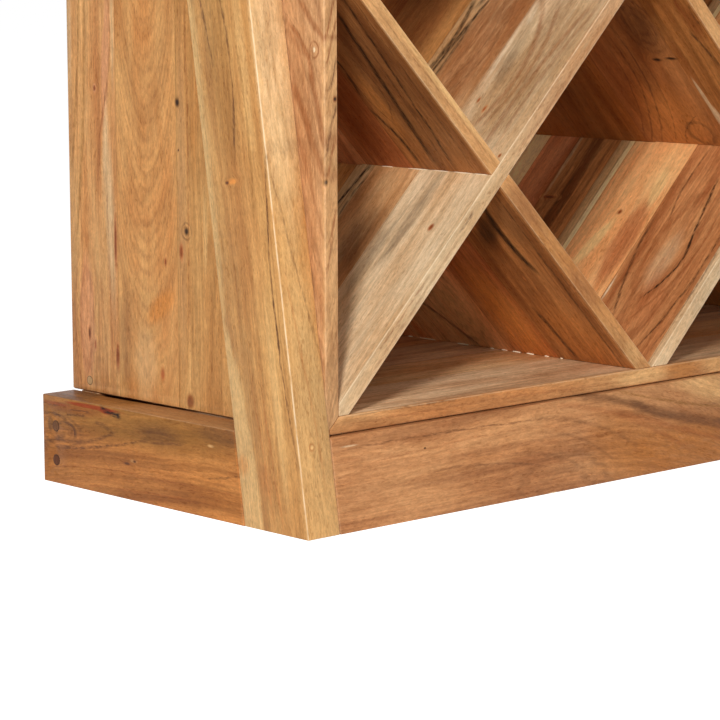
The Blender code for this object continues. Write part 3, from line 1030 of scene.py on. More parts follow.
def plain_mesh(name: str, draft: Object) -> bpy.types.Mesh:
    """The evaluated shape of an object as a plain mesh.

    Args:
        name: the mesh's name.
        draft: an object in the scene, which is removed.

    Returns:
        The new mesh.
    """
    graph = bpy.context.evaluated_depsgraph_get()
    mesh = bpy.data.meshes.new_from_object(draft.evaluated_get(graph))
    mesh.name = name
    bpy.data.objects.remove(draft)
    return mesh


def rounded_copy(name: str, node: Object, radius: float = ARRIS_ROUND) -> Object:
    """A copy of a solid with its facets merged and its arrises rounded.

    Args:
        name: the new object's name.
        node: the solid's object.
        radius: how far the arrises are rounded.

    Returns:
        The rounded object.
    """
    shape = bmesh.new()
    shape.from_mesh(node.data)
    bmesh.ops.remove_doubles(shape, verts=shape.verts, dist=WELD)
    bmesh.ops.dissolve_limit(shape, angle_limit=FLAT_ANGLE, verts=shape.verts, edges=shape.edges)
    draft = link(bpy.data.objects.new(name + "_draft", bpy.data.meshes.new(name + "_draft")))
    shape.to_mesh(draft.data)
    shape.free()
    draft.data.shade_smooth()
    bevel = draft.modifiers.new("arrises", "BEVEL")
    bevel.width = radius
    bevel.segments = 2
    bevel.limit_method = "ANGLE"
    bevel.angle_limit = ARRIS_ANGLE
    bevel.harden_normals = True
    return link(bpy.data.objects.new(name, plain_mesh(name, draft)))


def sag(board: Object, drops: Sequence[Place], outside: float, inside: float) -> None:
    """Lower a board's upper face towards the inside of the cabinet.

    Args:
        board: the board, which runs from front to back.
        drops: places from front to back, with the drop at each.
        outside: where across the board the drop begins.
        inside: where it is full.
    """
    shape = bmesh.new()
    shape.from_mesh(board.data)
    for y, _ in drops:
        whole = shape.verts[:] + shape.edges[:] + shape.faces[:]
        bmesh.ops.bisect_plane(shape, geom=whole, dist=WELD, plane_co=(0, y, 0), plane_no=(0, 1, 0))
    top = max(vertex.co.z for vertex in shape.verts)
    for vertex in shape.verts:
        share = min(1.0, max(0.0, (vertex.co.x - outside) / (inside - outside)))
        for (start, low), (end, high) in zip(drops, drops[1:]):
            if start < vertex.co.y <= end and vertex.co.z > top - SAG_SKIN:
                drop = low + (high - low) * (vertex.co.y - start) / (end - start)
                vertex.co.z -= share * drop
                break
    shape.to_mesh(board.data)
    shape.free()


def dress(node: str, finish: WoodFinish, shape: Object, radius: float = ARRIS_ROUND) -> Object:
    """Let a rounded, finished board stand for a solid.

    Args:
        node: the solid's name.
        finish: the board's wood.
        shape: the board before its arrises are rounded.
        radius: how far they are rounded.

    Returns:
        The board.
    """
    board = rounded_copy("dressed_" + node, shape, radius)
    board.data.materials.clear()
    board.data.materials.append(finish.material())
    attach(board, BODY)
    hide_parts(node)
    counts = (len(board.data.polygons), len(finish.staves), len(finish.marks))
    LOG.info("%s: %d faces, %d staves, %d marks", board.name, *counts)
    return board


def wild_staves(seed: int, width: float, tones: Sequence[Tone], typical: float) -> tuple[Stave, ...]:
    """Staves of uneven width for a board that has no staves of its own.

    Args:
        seed: seed of the draw.
        width: the board's width.
        tones: tones to choose from.
        typical: usual width of a stave.

    Returns:
        The staves.
    """
    draw = random.Random(seed)
    staves = []
    start = 0.0
    while start < width - typical / 2:
        cut = draw.choice((Cut.FLAT, Cut.CROWN, Cut.RIFT, Cut.RIFT, Cut.QUARTER))
        tone = draw.choice(tones)
        grain = (draw.uniform(0.1, 0.6), draw.uniform(0.7, 1.0), draw.uniform(0, 9))
        staves.append(Stave(start, tone, cut, *grain))
        start += typical * draw.uniform(0.7, 1.3)
    return tuple(staves)


def wild_marks(seed: int, frame: GrainFrame, start: float, knots: int, lines: int) -> tuple[Mark, ...]:
    """Knots and dark lines strewn over a board.

    Args:
        seed: seed of the draw.
        frame: the board's axes and size.
        start: where they begin along the board.
        knots: number of knots.
        lines: number of lines.

    Returns:
        The marks.
    """
    draw = random.Random(seed)
    length, width, _ = frame.size
    marks: list[Mark] = []
    for _ in range(knots):
        half = draw.uniform(3, 7)
        core = draw.choice((Ink.BARK, Ink.RUST, Ink.BLACK))
        place = (draw.uniform(start, length) / MM, draw.uniform(0.05, 0.95) * width / MM)
        marks.append(Knot(*place, half * draw.uniform(1.0, 1.8), half, core, Ink.RUST))
    for _ in range(lines):
        place = (draw.uniform(start, length) / MM, draw.uniform(0.05, 0.95) * width / MM)
        sizes = (draw.uniform(60, 160), draw.uniform(1, 3))
        curve = (draw.uniform(-0.04, 0.04), draw.uniform(-0.3, 0.3))
        marks.append(Line.bowed(place, *sizes, *curve))
    return tuple(marks)


@dataclass(frozen=True)
class Seat:
    """Where a fastener sits: the middle of its outer end, the way that faces, and its sizes and shade."""

    place: Vector
    facing: Vector
    radius: float
    depth: float
    shade: float = 0.5


class Recipe:
    """A Geometry Nodes tree with named inputs, whose result is kept as a plain mesh."""

    def __init__(
        self, name: str, numbers: Sequence[str] = (), vectors: Sequence[str] = (), seeded: bool = True
    ) -> None:
        """Start the tree.

        Args:
            name: its name.
            numbers: names of the numbers that it is given.
            vectors: names of the vectors.
            seeded: whether it is given a seed.
        """
        self.name = name
        self.tree = bpy.data.node_groups.new(name, "GeometryNodeTree")
        sockets = {"Geometry": "NodeSocketGeometry"} | dict.fromkeys(numbers, "NodeSocketFloat")
        sockets |= dict.fromkeys(vectors, "NodeSocketVector") | {"Material": "NodeSocketMaterial"}
        sockets |= {"Seed": "NodeSocketInt"} if seeded else {}
        add_sockets(self.tree, "INPUT", sockets)
        add_sockets(self.tree, "OUTPUT", {"Geometry": "NodeSocketGeometry"})
        self.graph = Graph(self.tree)
        self.given = self.graph.add("NodeGroupInput").outputs

    def attribute(self, name: str, kind: str = "FLOAT") -> Socket:
        """A named attribute of the points."""
        node = self.graph.add("GeometryNodeInputNamedAttribute", {"Name": name}, data_type=kind)
        return node.outputs["Attribute"]

    def seat_size(self) -> Socket:
        """Scale that brings a round part of radius and depth one to its seat's sizes."""
        radius = self.attribute("radius")
        return self.graph.joined(radius, radius, self.attribute("depth"))

    def cube(self, size: Value) -> Socket:
        """A box about the origin."""
        return self.graph.out("GeometryNodeMeshCube", {"Size": size})

    def moved(self, geometry: Value, place: Value) -> Socket:
        """A geometry moved by a vector."""
        return self.graph.out("GeometryNodeTransform", {"Geometry": geometry, "Translation": place})

    def real(self, instances: Value) -> Socket:
        """Instances as real geometry."""
        return self.graph.out("GeometryNodeRealizeInstances", {"Geometry": instances})

    def on_points(self, part: Value, inputs: dict[str, Value]) -> Socket:
        """A part on every point, with its rotation or scale."""
        placed = {"Points": self.given["Geometry"], "Instance": part} | inputs
        return self.graph.out("GeometryNodeInstanceOnPoints", placed)

    def spun(self, part: Value, scale: Value) -> Socket:
        """A part on every point, turned to face its way and spun at random about it.

        Args:
            part: the part, which faces +Z.
            scale: its scale at each point.

        Returns:
            The instances.
        """
        graph = self.graph
        facing = self.attribute("facing", "FLOAT_VECTOR")
        upright = graph.out("FunctionNodeAlignRotationToVector", {"Vector": facing}, axis="Z")
        full_turn = {2: 0.0, 3: math.tau, 8: self.given["Seed"]}
        spin = graph.add("FunctionNodeRandomValue", full_turn, data_type="FLOAT").outputs[1]
        turn = graph.out("FunctionNodeAxisAngleToRotation", {"Axis": (0, 0, 1), "Angle": spin})
        both = graph.out("FunctionNodeRotateRotation", {0: upright, 1: turn}, rotation_space="LOCAL")
        return self.on_points(part, {"Rotation": both, "Scale": scale})

    def cut(self, operation: str, tools: Sequence[Socket], body: Socket | None = None) -> Socket:
        """An exact boolean of meshes.

        Args:
            operation: INTERSECT or DIFFERENCE.
            tools: the meshes that meet or are taken away.
            body: the mesh that a difference cuts.

        Returns:
            The resulting mesh.
        """
        node = self.graph.add("GeometryNodeMeshBoolean", operation=operation, solver="EXACT")
        if body:
            self.graph.feed(node.inputs["Mesh 1"], body)
        for tool in tools:
            self.graph.feed(node.inputs["Mesh 2"], tool)
        return node.outputs[0]

    def close(self, geometry: Value) -> None:
        """End the tree in real geometry with its material."""
        painted = {"Geometry": self.real(geometry), "Material": self.given["Material"]}
        self.graph.add("NodeGroupOutput", {0: self.graph.out("GeometryNodeSetMaterial", painted)})

    def run(self, name: str, points: bpy.types.Mesh, values: dict[str, object]) -> Object:
        """Run the tree on points and keep the result.

        Args:
            name: the new object's name.
            points: the mesh that the tree is given.
            values: values of the inputs by name.

        Returns:
            An object with a plain mesh.
        """
        draft = link(bpy.data.objects.new(name + "_draft", points))
        modifier = draft.modifiers.new(self.name, "NODES")
        modifier.node_group = self.tree
        for item in self.tree.interface.items_tree:
            if item.name in values and item.in_out == "INPUT":
                modifier[item.identifier] = values[item.name]
        return link(bpy.data.objects.new(name, plain_mesh(name, draft)))


def seat_points(name: str, seats: Sequence[Seat]) -> bpy.types.Mesh:
    """A mesh of points that carry the seats' values.

    Args:
        name: the mesh's name.
        seats: where the fasteners sit.

    Returns:
        The mesh, with an attribute for each value.
    """
    mesh = bpy.data.meshes.new(name)
    mesh.from_pydata([seat.place for seat in seats], [], [])
    facing = mesh.attributes.new("facing", "FLOAT_VECTOR", "POINT")
    for item, seat in zip(facing.data, seats):
        item.vector = seat.facing
    for field in ("radius", "depth", "shade"):
        numbers = mesh.attributes.new(field, "FLOAT", "POINT")
        for item, seat in zip(numbers.data, seats):
            item.value = getattr(seat, field)
    return mesh


@dataclass
class Case:
    """Mitred case: two sides, a floor, a ceiling and a back panel in a groove."""

    at: Measures
    nodes: dict[str, Object]

    def build(self) -> None:
        """Dress the boards of the case."""
        for name, finish, slot in (
            ("side_panel_left", self.left_side(), "case_wood"),
            ("side_panel_right", self.right_side(), "case_wood"),
            ("case_floor", self.level("case_floor", self.at.floor_top, 11), "case_wood"),
            ("case_top", self.level("case_top", self.at.case_top, 12), "case_wood"),
            ("back_panel", self.back(), "back_wood"),
        ):
            dress(name, finish, self.nodes[name])

    def side_frame(self, x: float) -> GrainFrame:
        """Axes of a side: up, then from front to back.

        Args:
            x: its face on the -X side.

        Returns:
            The grain frame.
        """
        at = self.at
        size = (at.case_top - at.case_bottom, at.case_back - at.case_front, at.case_x - at.inner_x)
        return GrainFrame((x, at.case_front, at.case_bottom), UP, BACK, size)

    def left_side(self) -> WoodFinish:
        """Left side: four staves, arches in the third and a pink heart in the last.

        Returns:
            Its finish.
        """
        frame = self.side_frame(-self.at.case_x)
        staves = (
            Stave(0.000, Tone.ROSE, Cut.CORNER, 0.30, 1.25, 1.3),
            Stave(0.118, Tone.STRAW, Cut.QUARTER, 0.20, 0.75, 2.1),
            Stave(0.233, Tone.HONEY, Cut.BASIN, 0.05, 0.65, 3.4),
            Stave(0.336, Tone.BLUSH, Cut.QUARTER, 0.15, 0.90, 4.6),
        )
        marks = (
            Patch(230, 225, 210, 9, Ink.MAUVE, 0.60),
            Patch(190, 187, 55, 4.5, Ink.BUTTER, 0.50),
            Patch(340, 203, 110, 10, Ink.GINGER, 0.35),
            Patch(105, 264, 36, 15, Ink.ORANGE, 0.95, -0.9),
            Patch(65, 324, 70, 13, Ink.SMOKE, 0.36),
            Patch(80, 393, 78, 15, Ink.PINK, 0.85, soft=0.4),
            Patch(370, 353, 80, 8, Ink.PINK, 1.00, -0.07, soft=0.6),
            Patch(200, 349, 120, 9.5, Ink.CREAM, 0.60, 0.04, soft=1.0),
            Patch(270, 356, 60, 6, Ink.CREAM, 0.50, -0.06, soft=1.0),
            Patch(400, 341, 70, 4, Ink.CREAM, 0.35),
            Patch(400, 418, 90, 6, Ink.CREAM, 0.45),
            Patch(40, 290, 50, 22, Ink.CREAM, 0.22),
            Patch(250, -9, 320, 30, Ink.FLAME, 0.35, face=Face.NARROW),
            Patch(385.7, 14.8, 3.4, 2, Ink.BONE, 1.00, soft=0.5),
            Swirl(385.7, 14.8, 10, 8, 1.5, Ink.UMBER, 0.80),
            Swirl(190, 218, 11, 9.5, 1.5, Ink.BARK, 0.60),
            Swirl(80, 393, 105, 24, 2.5, Ink.RUST, 0.42),
            Arches(260, 285, 230, 58, 18, 48.0, Ink.UMBER, 0.34),
            Line(257, 0, 305, 23, 348, 45, 7.8, Ink.UMBER, 0.62),
            Line(289, 0, 330, 11, 362, 21, 6, Ink.UMBER, 0.75),
            Line(352, 17.5, 384, 27, 411, 51, 6.6, Ink.UMBER, 0.80),
            Line(390, 30, 406, 42, 421, 58, 1.8, Ink.BARK, 0.50),
            Line(396, 0, 411, 16, 436, 36, 8, Ink.UMBER, 0.70),
            Line(300, 22.5, 330, 34, 352, 47, 8, Ink.UMBER, 0.35),
            Line(380, 30, 395, 45, 405, 55, 8, Ink.UMBER, 0.35),
            Line(225, 12, 262, 26, 300, 40, 3, Ink.UMBER, 0.30),
            Line(259, -3.6, 275, -8, 300, -15, 2.8, Ink.UMBER, 0.75, Face.NARROW),
            Line(280, -1.8, 309, -9, 332, -16, 2.6, Ink.BARK, 0.80, Face.NARROW),
            Line(346, -6.3, 357, -10.7, 375, -15.7, 2.4, Ink.BARK, 0.75, Face.NARROW),
            Line(368, -1.4, 400, -11.6, 420, -17, 2.4, Ink.UMBER, 0.80, Face.NARROW),
            Line(396, -1, 411, -6.3, 436, -13, 2.4, Ink.UMBER, 0.80, Face.NARROW),
            Line(164, -2.7, 186, -7, 225, -14.5, 2.6, Ink.UMBER, 0.65, Face.NARROW),
            Line(193, -4.5, 211, -10.7, 226, -14, 2.2, Ink.UMBER, 0.60, Face.NARROW),
            Line(80, 216.5, 250, 214.5, 420, 217, 2.6, Ink.RUST, 0.50),
            Line(10, 357, 60, 360, 125, 367, 2.6, Ink.RUST, 0.35),
            Line(230, 369, 290, 363, 340, 350, 3, Ink.UMBER, 0.70),
            Line(335, 352, 385, 345, 440, 349, 2.4, Ink.RUST, 0.50),
            Line(160, 411, 240, 400, 440, 390, 4, Ink.OLIVE, 0.60),
            Line(250, 416, 340, 405, 440, 399, 3, Ink.OLIVE, 0.60),
            Line.bowed((150, 352), 120, 1.6, 0.03, 0.0, Ink.RUST, 0.40),
            Knot(190, 218, 5, 4.2, Ink.BLACK, Ink.BARK),
            Knot(325, 231, 5, 4, Ink.BLACK, Ink.BARK),
            Knot(275, 230, 2.2, 2.2, Ink.BARK, Ink.MAUVE),
            Knot(168, 227, 10, 3.6, Ink.RUST, Ink.BRICK),
            Knot(33, 261, 9, 4.2, Ink.BRICK, Ink.SIENNA),
            Knot(155, 254, 5, 2.2, Ink.RUST, Ink.BRICK),
            Knot(9, 215, 8.5, 6.5, Ink.UMBER, Ink.RUST),
            Knot(335, 373, 5, 3.4, Ink.RUST, Ink.PINK),
            Knot(65, 389, 9, 2.8, Ink.BARK, Ink.RUST),
            Knot(53, 379, 9, 2.6, Ink.BRICK, Ink.PINK),
            Knot(45, 339, 17, 3.4, Ink.RUST, Ink.BRICK),
            Knot(170, 340, 32, 2.6, Ink.RUST, Ink.BRICK),
            Knot(337, -14, 3.6, 3, Ink.BLACK, Ink.RUST, face=Face.NARROW),
            Knot(255, -2, 3.6, 2.6, Ink.SMOKE, Ink.OLIVE, face=Face.NARROW),
        )
        marks += wild_marks(21, frame, 0.5, 6, 4)
        return WoodFinish("side_panel_left_wood", frame, staves, marks, arris_wear_and_highlight=0.12)

    def right_side(self) -> WoodFinish:
        """Right side, from other boards of the same stack.

        Returns:
            Its finish.
        """
        frame = self.side_frame(self.at.inner_x)
        staves = (
            Stave(0.000, Tone.HONEY, Cut.RIFT, 0.20, 0.85, 5.2),
            Stave(0.095, Tone.ROSE, Cut.FLAT, 0.20, 0.90, 6.1),
            Stave(0.197, Tone.AMBER, Cut.QUARTER, 0.35, 0.80, 7.7),
            Stave(0.310, Tone.HONEY, Cut.CROWN, 0.10, 0.85, 8.3),
        )
        return WoodFinish("side_panel_right_wood", frame, staves, wild_marks(22, frame, 0.0, 10, 7))

    def level(self, node: str, upper: float, seed: int) -> WoodFinish:
        """Floor or ceiling: staves along the width.

        Args:
            node: the board's name.
            upper: height of its upper face.
            seed: seed of its staves and marks.

        Returns:
            Its finish.
        """
        at = self.at
        size = (2 * at.case_x, at.case_back - at.case_front, at.case_x - at.inner_x)
        frame = GrainFrame((-at.case_x, at.case_front, upper), RIGHT, BACK, size)
        staves = (
            Stave(0.000, Tone.TOFFEE, Cut.RIFT, 0.15, 1.0, 0.7),
            Stave(EDGE_BAND, Tone.DRIFT, Cut.RIFT, 0.08, 1.3, 0.7),
            Stave(0.118, Tone.PEACH, Cut.FLAT, 0.08, 1.3, seed + 0.9),
            Stave(0.212, Tone.DRIFT, Cut.RIFT, 0.12, 1.3, seed + 1.6),
            Stave(0.305, Tone.PEACH, Cut.CROWN, 0.12, 1.3, seed + 2.3),
        )
        marks = (
            Knot(255, 110, 4, 3, Ink.RUST, Ink.SIENNA),
            Knot(340, 80, 2, 1.6, Ink.BARK, Ink.SIENNA),
            Patch(400, 95, 130, 50, Ink.CREAM, 0.35),
            # Dark oval: painted shadow of the rising board on the floor; the ceiling, made by the same call,
            # gets it too.
            Patch(130, 200, 300, 120, Ink.BARK, 0.42, 0.56),
            Patch(230, -9, 190, 20, Ink.SIENNA, 0.60, face=Face.NARROW),
            Patch(475, -10, 50, 14, Ink.FLAME, 0.65, face=Face.NARROW),
            Patch(545, -9, 35, 14, Ink.GINGER, 0.50, face=Face.NARROW),
            Patch(605, -9, 30, 14, Ink.FLAME, 0.40, face=Face.NARROW),
            Line(40, -1.5, 110, -1, 190, -2, 1.6, Ink.SMOKE, 0.45, Face.NARROW),
            Line(60, -10, 250, -8, 420, -11, 2.2, Ink.UMBER, 0.45, Face.NARROW),
        )
        marks += wild_marks(seed, frame, 0.55, 3, 4)
        return WoodFinish(node + "_wood", frame, staves, marks, arris_wear_and_highlight=0.3)

    def back(self) -> WoodFinish:
        """Back panel: thin boards that run across.

        Returns:
            Its finish.
        """
        low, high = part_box("back_panel")
        size = (high.x - low.x, high.z - low.z, high.y - low.y)
        frame = GrainFrame(low, RIGHT, UP, size)
        staves = wild_staves(31, size[1], (Tone.CHESTNUT, Tone.WALNUT, Tone.AMBER, Tone.RUSSET), 0.110)
        return WoodFinish("back_panel_wood", frame, staves, wild_marks(32, frame, 0.0, 9, 9), roughness=0.52)


@dataclass
class Lattice:
    """Six boards at 45 degrees, halved into each other, which make the diamond bins.

    Attributes:
        at: the cabinet's measures.
        arris: how far the arrises are rounded.
        gap: play of the joints.
        margin: how far a bar or a slot reaches beyond what it cuts.
        foot_chips: places and half lengths of the torn fibres at a foot, from front to back.
        joint_chips: the same at a crossing.
        chip_size: their half thickness and half height.
        chip_wear: how far noise pushes their surface.
        rising_arris_wear_and_highlight: how pale the arrises of the rising boards are, from rubbing and a
            painted highlight.
        falling_arris_wear_and_highlight: the same on the falling boards.
    """

    at: Measures
    arris: float = 0.0008
    gap: float = 0.0003
    margin: float = 0.010
    foot_chips: tuple[Place, ...] = (
        (0.114, 0.002), (0.138, 0.004), (0.164, 0.006), (0.186, 0.0065), (0.206, 0.005),
        (0.226, 0.003), (0.275, 0.010), (0.335, 0.014), (0.365, 0.004), (0.390, 0.007),
    )
    joint_chips: tuple[Place, ...] = (
        (0.016, 0.010), (0.044, 0.014), (0.078, 0.012), (0.112, 0.016), (0.160, 0.009),
    )
    chip_size: Place = (0.0010, 0.0013)
    chip_wear: float = 0.0016
    rising_arris_wear_and_highlight: float = 0.45
    falling_arris_wear_and_highlight: float = 0.18

    def build(self) -> None:
        """Saw and dress the boards of the lattice."""
        recipe = self.recipe()
        half = LATTICE_BOARD / 2 * DIAGONAL
        deep = LATTICE_BOARD / DIAGONAL
        left = -self.at.inner_x
        middle_z = (self.at.floor_top + self.at.ceiling) / 2
        rising = (DIAGONAL, 0, DIAGONAL)
        falling = (DIAGONAL, 0, -DIAGONAL)
        for name, start, way, look in (
            ("lattice_rising_long", (left - half, self.at.floor_top + half), rising, self.rising_long),
            ("lattice_rising_lower_right", (0, self.at.floor_top), rising, self.rising_lower_right),
            ("lattice_rising_upper_left", (left, middle_z + deep), rising, None),
            ("lattice_falling_lower_left", (left, middle_z), falling, self.falling_lower_left),
            ("lattice_falling_long", (left + half, self.at.ceiling + half), falling, self.falling_long),
            ("lattice_falling_upper_right", (0, self.at.ceiling + deep), falling, None),
        ):
            frame = self.board_frame(name, start, way)
            staves, marks = look() if look else self.unseen(name, frame)
            arris_wear_and_highlight = self.rising_arris_wear_and_highlight if way == rising else self.falling_arris_wear_and_highlight
            finish = WoodFinish(name + "_wood", frame, staves, marks, arris_wear_and_highlight=arris_wear_and_highlight)
            sawn = self.sawn(name, recipe, finish)
            dress(name, finish, sawn, self.arris)
            bpy.data.objects.remove(sawn)
        self.torn_fibres_and_highlights()

    def lines(self) -> dict[str, tuple[int, float, float]]:
        """Slopes and middles of the boards.

        Returns:
            By name, the rise, 1 to the right and -1 to the left, and the middle from the case's middle.
        """
        aside = self.at.inner_x / 2 + LATTICE_BOARD / 2 * DIAGONAL
        above = (self.at.ceiling - self.at.floor_top) / 4 + LATTICE_BOARD / 2 * DIAGONAL
        return {
            "lattice_rising_long": (1, 0.0, 0.0),
            "lattice_falling_long": (-1, 0.0, 0.0),
            "lattice_falling_lower_left": (-1, -aside, -above),
            "lattice_falling_upper_right": (-1, aside, above),
            "lattice_rising_upper_left": (1, -aside, above),
            "lattice_rising_lower_right": (1, aside, -above),
        }

    def crossings(self, name: str) -> list[Place]:
        """Places where a board crosses others, from the case's middle.

        Args:
            name: the board's name.

        Returns:
            The x and z of each crossing inside the case.
        """
        rise, x, z = self.lines()[name]
        reach_x = self.at.inner_x - 2 * LATTICE_BOARD
        reach_z = (self.at.ceiling - self.at.floor_top) / 2 - 2 * LATTICE_BOARD
        found = []
        for other_rise, other_x, other_z in self.lines().values():
            cross_x = (rise * (other_z - z) + x + other_x) / 2
            cross_z = z + rise * (cross_x - x)
            if other_rise != rise and abs(cross_x) < reach_x and abs(cross_z) < reach_z:
                found.append((cross_x, cross_z))
        return found

    @staticmethod
    def recipe() -> Recipe:
        """Tree that saws a board: a bar turned to its slope, cut to the case and slotted at its crossings.

        Returns:
            The tree, which is given the middles of the slots.
        """
        vectors = ("Bar", "Middle", "Case", "Case Middle", "Slot")
        recipe = Recipe("lattice_board", ("Slope",), vectors, seeded=False)
        graph = recipe.graph
        given = recipe.given
        slope = graph.joined(0.0, given["Slope"], 0.0)
        turned = {"Geometry": recipe.cube(given["Bar"]), "Translation": given["Middle"], "Rotation": slope}
        bar = graph.out("GeometryNodeTransform", turned)
        hollow = recipe.moved(recipe.cube(given["Case"]), given["Case Middle"])
        other_slope = graph.joined(0.0, graph.times(given["Slope"], -1.0), 0.0)
        slots = recipe.real(recipe.on_points(recipe.cube(given["Slot"]), {"Rotation": other_slope}))
        recipe.close(recipe.cut("DIFFERENCE", [slots], recipe.cut("INTERSECT", [bar, hollow])))
        return recipe

    def sawn(self, name: str, recipe: Recipe, finish: WoodFinish) -> Object:
        """Saw one board. A rising board is whole at the front and a falling one at the back.

        Args:
            name: the board's name.
            recipe: the tree that saws it.
            finish: its wood.

        Returns:
            The board with sharp arrises.
        """
        at = self.at
        rise, x, z = self.lines()[name]
        width = 2 * at.inner_x
        height = at.ceiling - at.floor_top
        depth = at.lattice_back - at.case_front
        middle_y = (at.case_front + at.lattice_back) / 2
        middle_z = (at.ceiling + at.floor_top) / 2
        slot_depth = depth / 2 + self.gap / 2 + self.margin
        slot_y = middle_y + rise * (slot_depth - self.gap) / 2
        slots = bpy.data.meshes.new(name + "_slots")
        places = [(cross_x, slot_y, middle_z + cross_z) for cross_x, cross_z in self.crossings(name)]
        slots.from_pydata(places, [], [])
        values = {
            "Bar": (math.hypot(width, height) + 2 * self.margin, depth, LATTICE_BOARD),
            "Middle": (x, middle_y, middle_z + z),
            "Case": (width - 2 * self.gap, depth + 2 * self.margin, height - 2 * self.gap),
            "Case Middle": (0.0, middle_y, middle_z),
            "Slot": (3 * LATTICE_BOARD, slot_depth, LATTICE_BOARD + 2 * self.gap),
            "Slope": -rise * math.pi / 4,
            "Material": finish.material(),
        }
        return recipe.run(name + "_sawn", slots, values)

    def torn_fibres_and_highlights(self) -> None:
        """Lay torn fibres along the foot and the upper joint of the short falling board, coloured near white
        as a painted highlight.
        """
        recipe = Recipe("torn_fibres_and_highlights", ("Thickness", "Wear"))
        graph = recipe.graph
        given = recipe.given
        ball = graph.out("GeometryNodeMeshIcoSphere", {"Radius": 1.0, "Subdivisions": 3})
        size = graph.joined(given["Thickness"], recipe.attribute("radius"), recipe.attribute("depth"))
        row = recipe.real(recipe.on_points(ball, {"Scale": size}))
        place = graph.out("GeometryNodeInputPosition")
        noise = {"Vector": place, "W": given["Seed"], "Scale": 320.0, "Detail": 2.0}
        push = graph.add("ShaderNodeTexNoise", noise, noise_dimensions="4D").outputs["Color"]
        push = graph.scaled(graph.vector("SUBTRACT", push, (0.5, 0.5, 0.5)), given["Wear"])
        recipe.close(graph.out("GeometryNodeSetPosition", {"Geometry": row, "Offset": push}))
        thick, high = self.chip_size
        (cross_x, cross_z), = self.crossings("lattice_falling_lower_left")
        middle_z = (self.at.floor_top + self.at.ceiling) / 2
        foot = (-LATTICE_BOARD / DIAGONAL - thick / 2, self.at.floor_top + high / 3, high)
        joint = (cross_x - LATTICE_BOARD * DIAGONAL, middle_z + cross_z, high / 2)
        seats = []
        for (x, z, half_height), chips in ((foot, self.foot_chips), (joint, self.joint_chips)):
            for along, half in chips:
                place = Vector((x, self.at.case_front + along, z))
                seats.append(Seat(place, UP, half, half_height))
        # Near-white colour: the fibres' pale wood raised into a painted highlight.
        wood = PlugFinish("torn_fibre_highlight_wood", (255, 244, 220), (246, 222, 184)).material()
        values = {"Thickness": thick, "Wear": self.chip_wear, "Seed": 3, "Material": wood}
        row = recipe.run("torn_fibres_and_highlights", seat_points("fibre_seats", seats), values)
        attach(row, BODY)
        LOG.info("%s: %d pieces, %d faces", row.name, len(seats), len(row.data.polygons))

    def board_frame(self, node: str, start: Place, way: Triple) -> GrainFrame:
        """Axes of a lattice board: along the slope, then from front to back.

        Args:
            node: the board's name.
            start: x and z of its upper left start.
            way: direction of its length.

        Returns:
            The grain frame, whose depth is zero on the upper face.
        """
        low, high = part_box(node)
        size = ((high.x - low.x) / DIAGONAL, self.at.lattice_back - self.at.case_front, LATTICE_BOARD)
        return GrainFrame((start[0], self.at.case_front, start[1]), Vector(way), BACK, size)

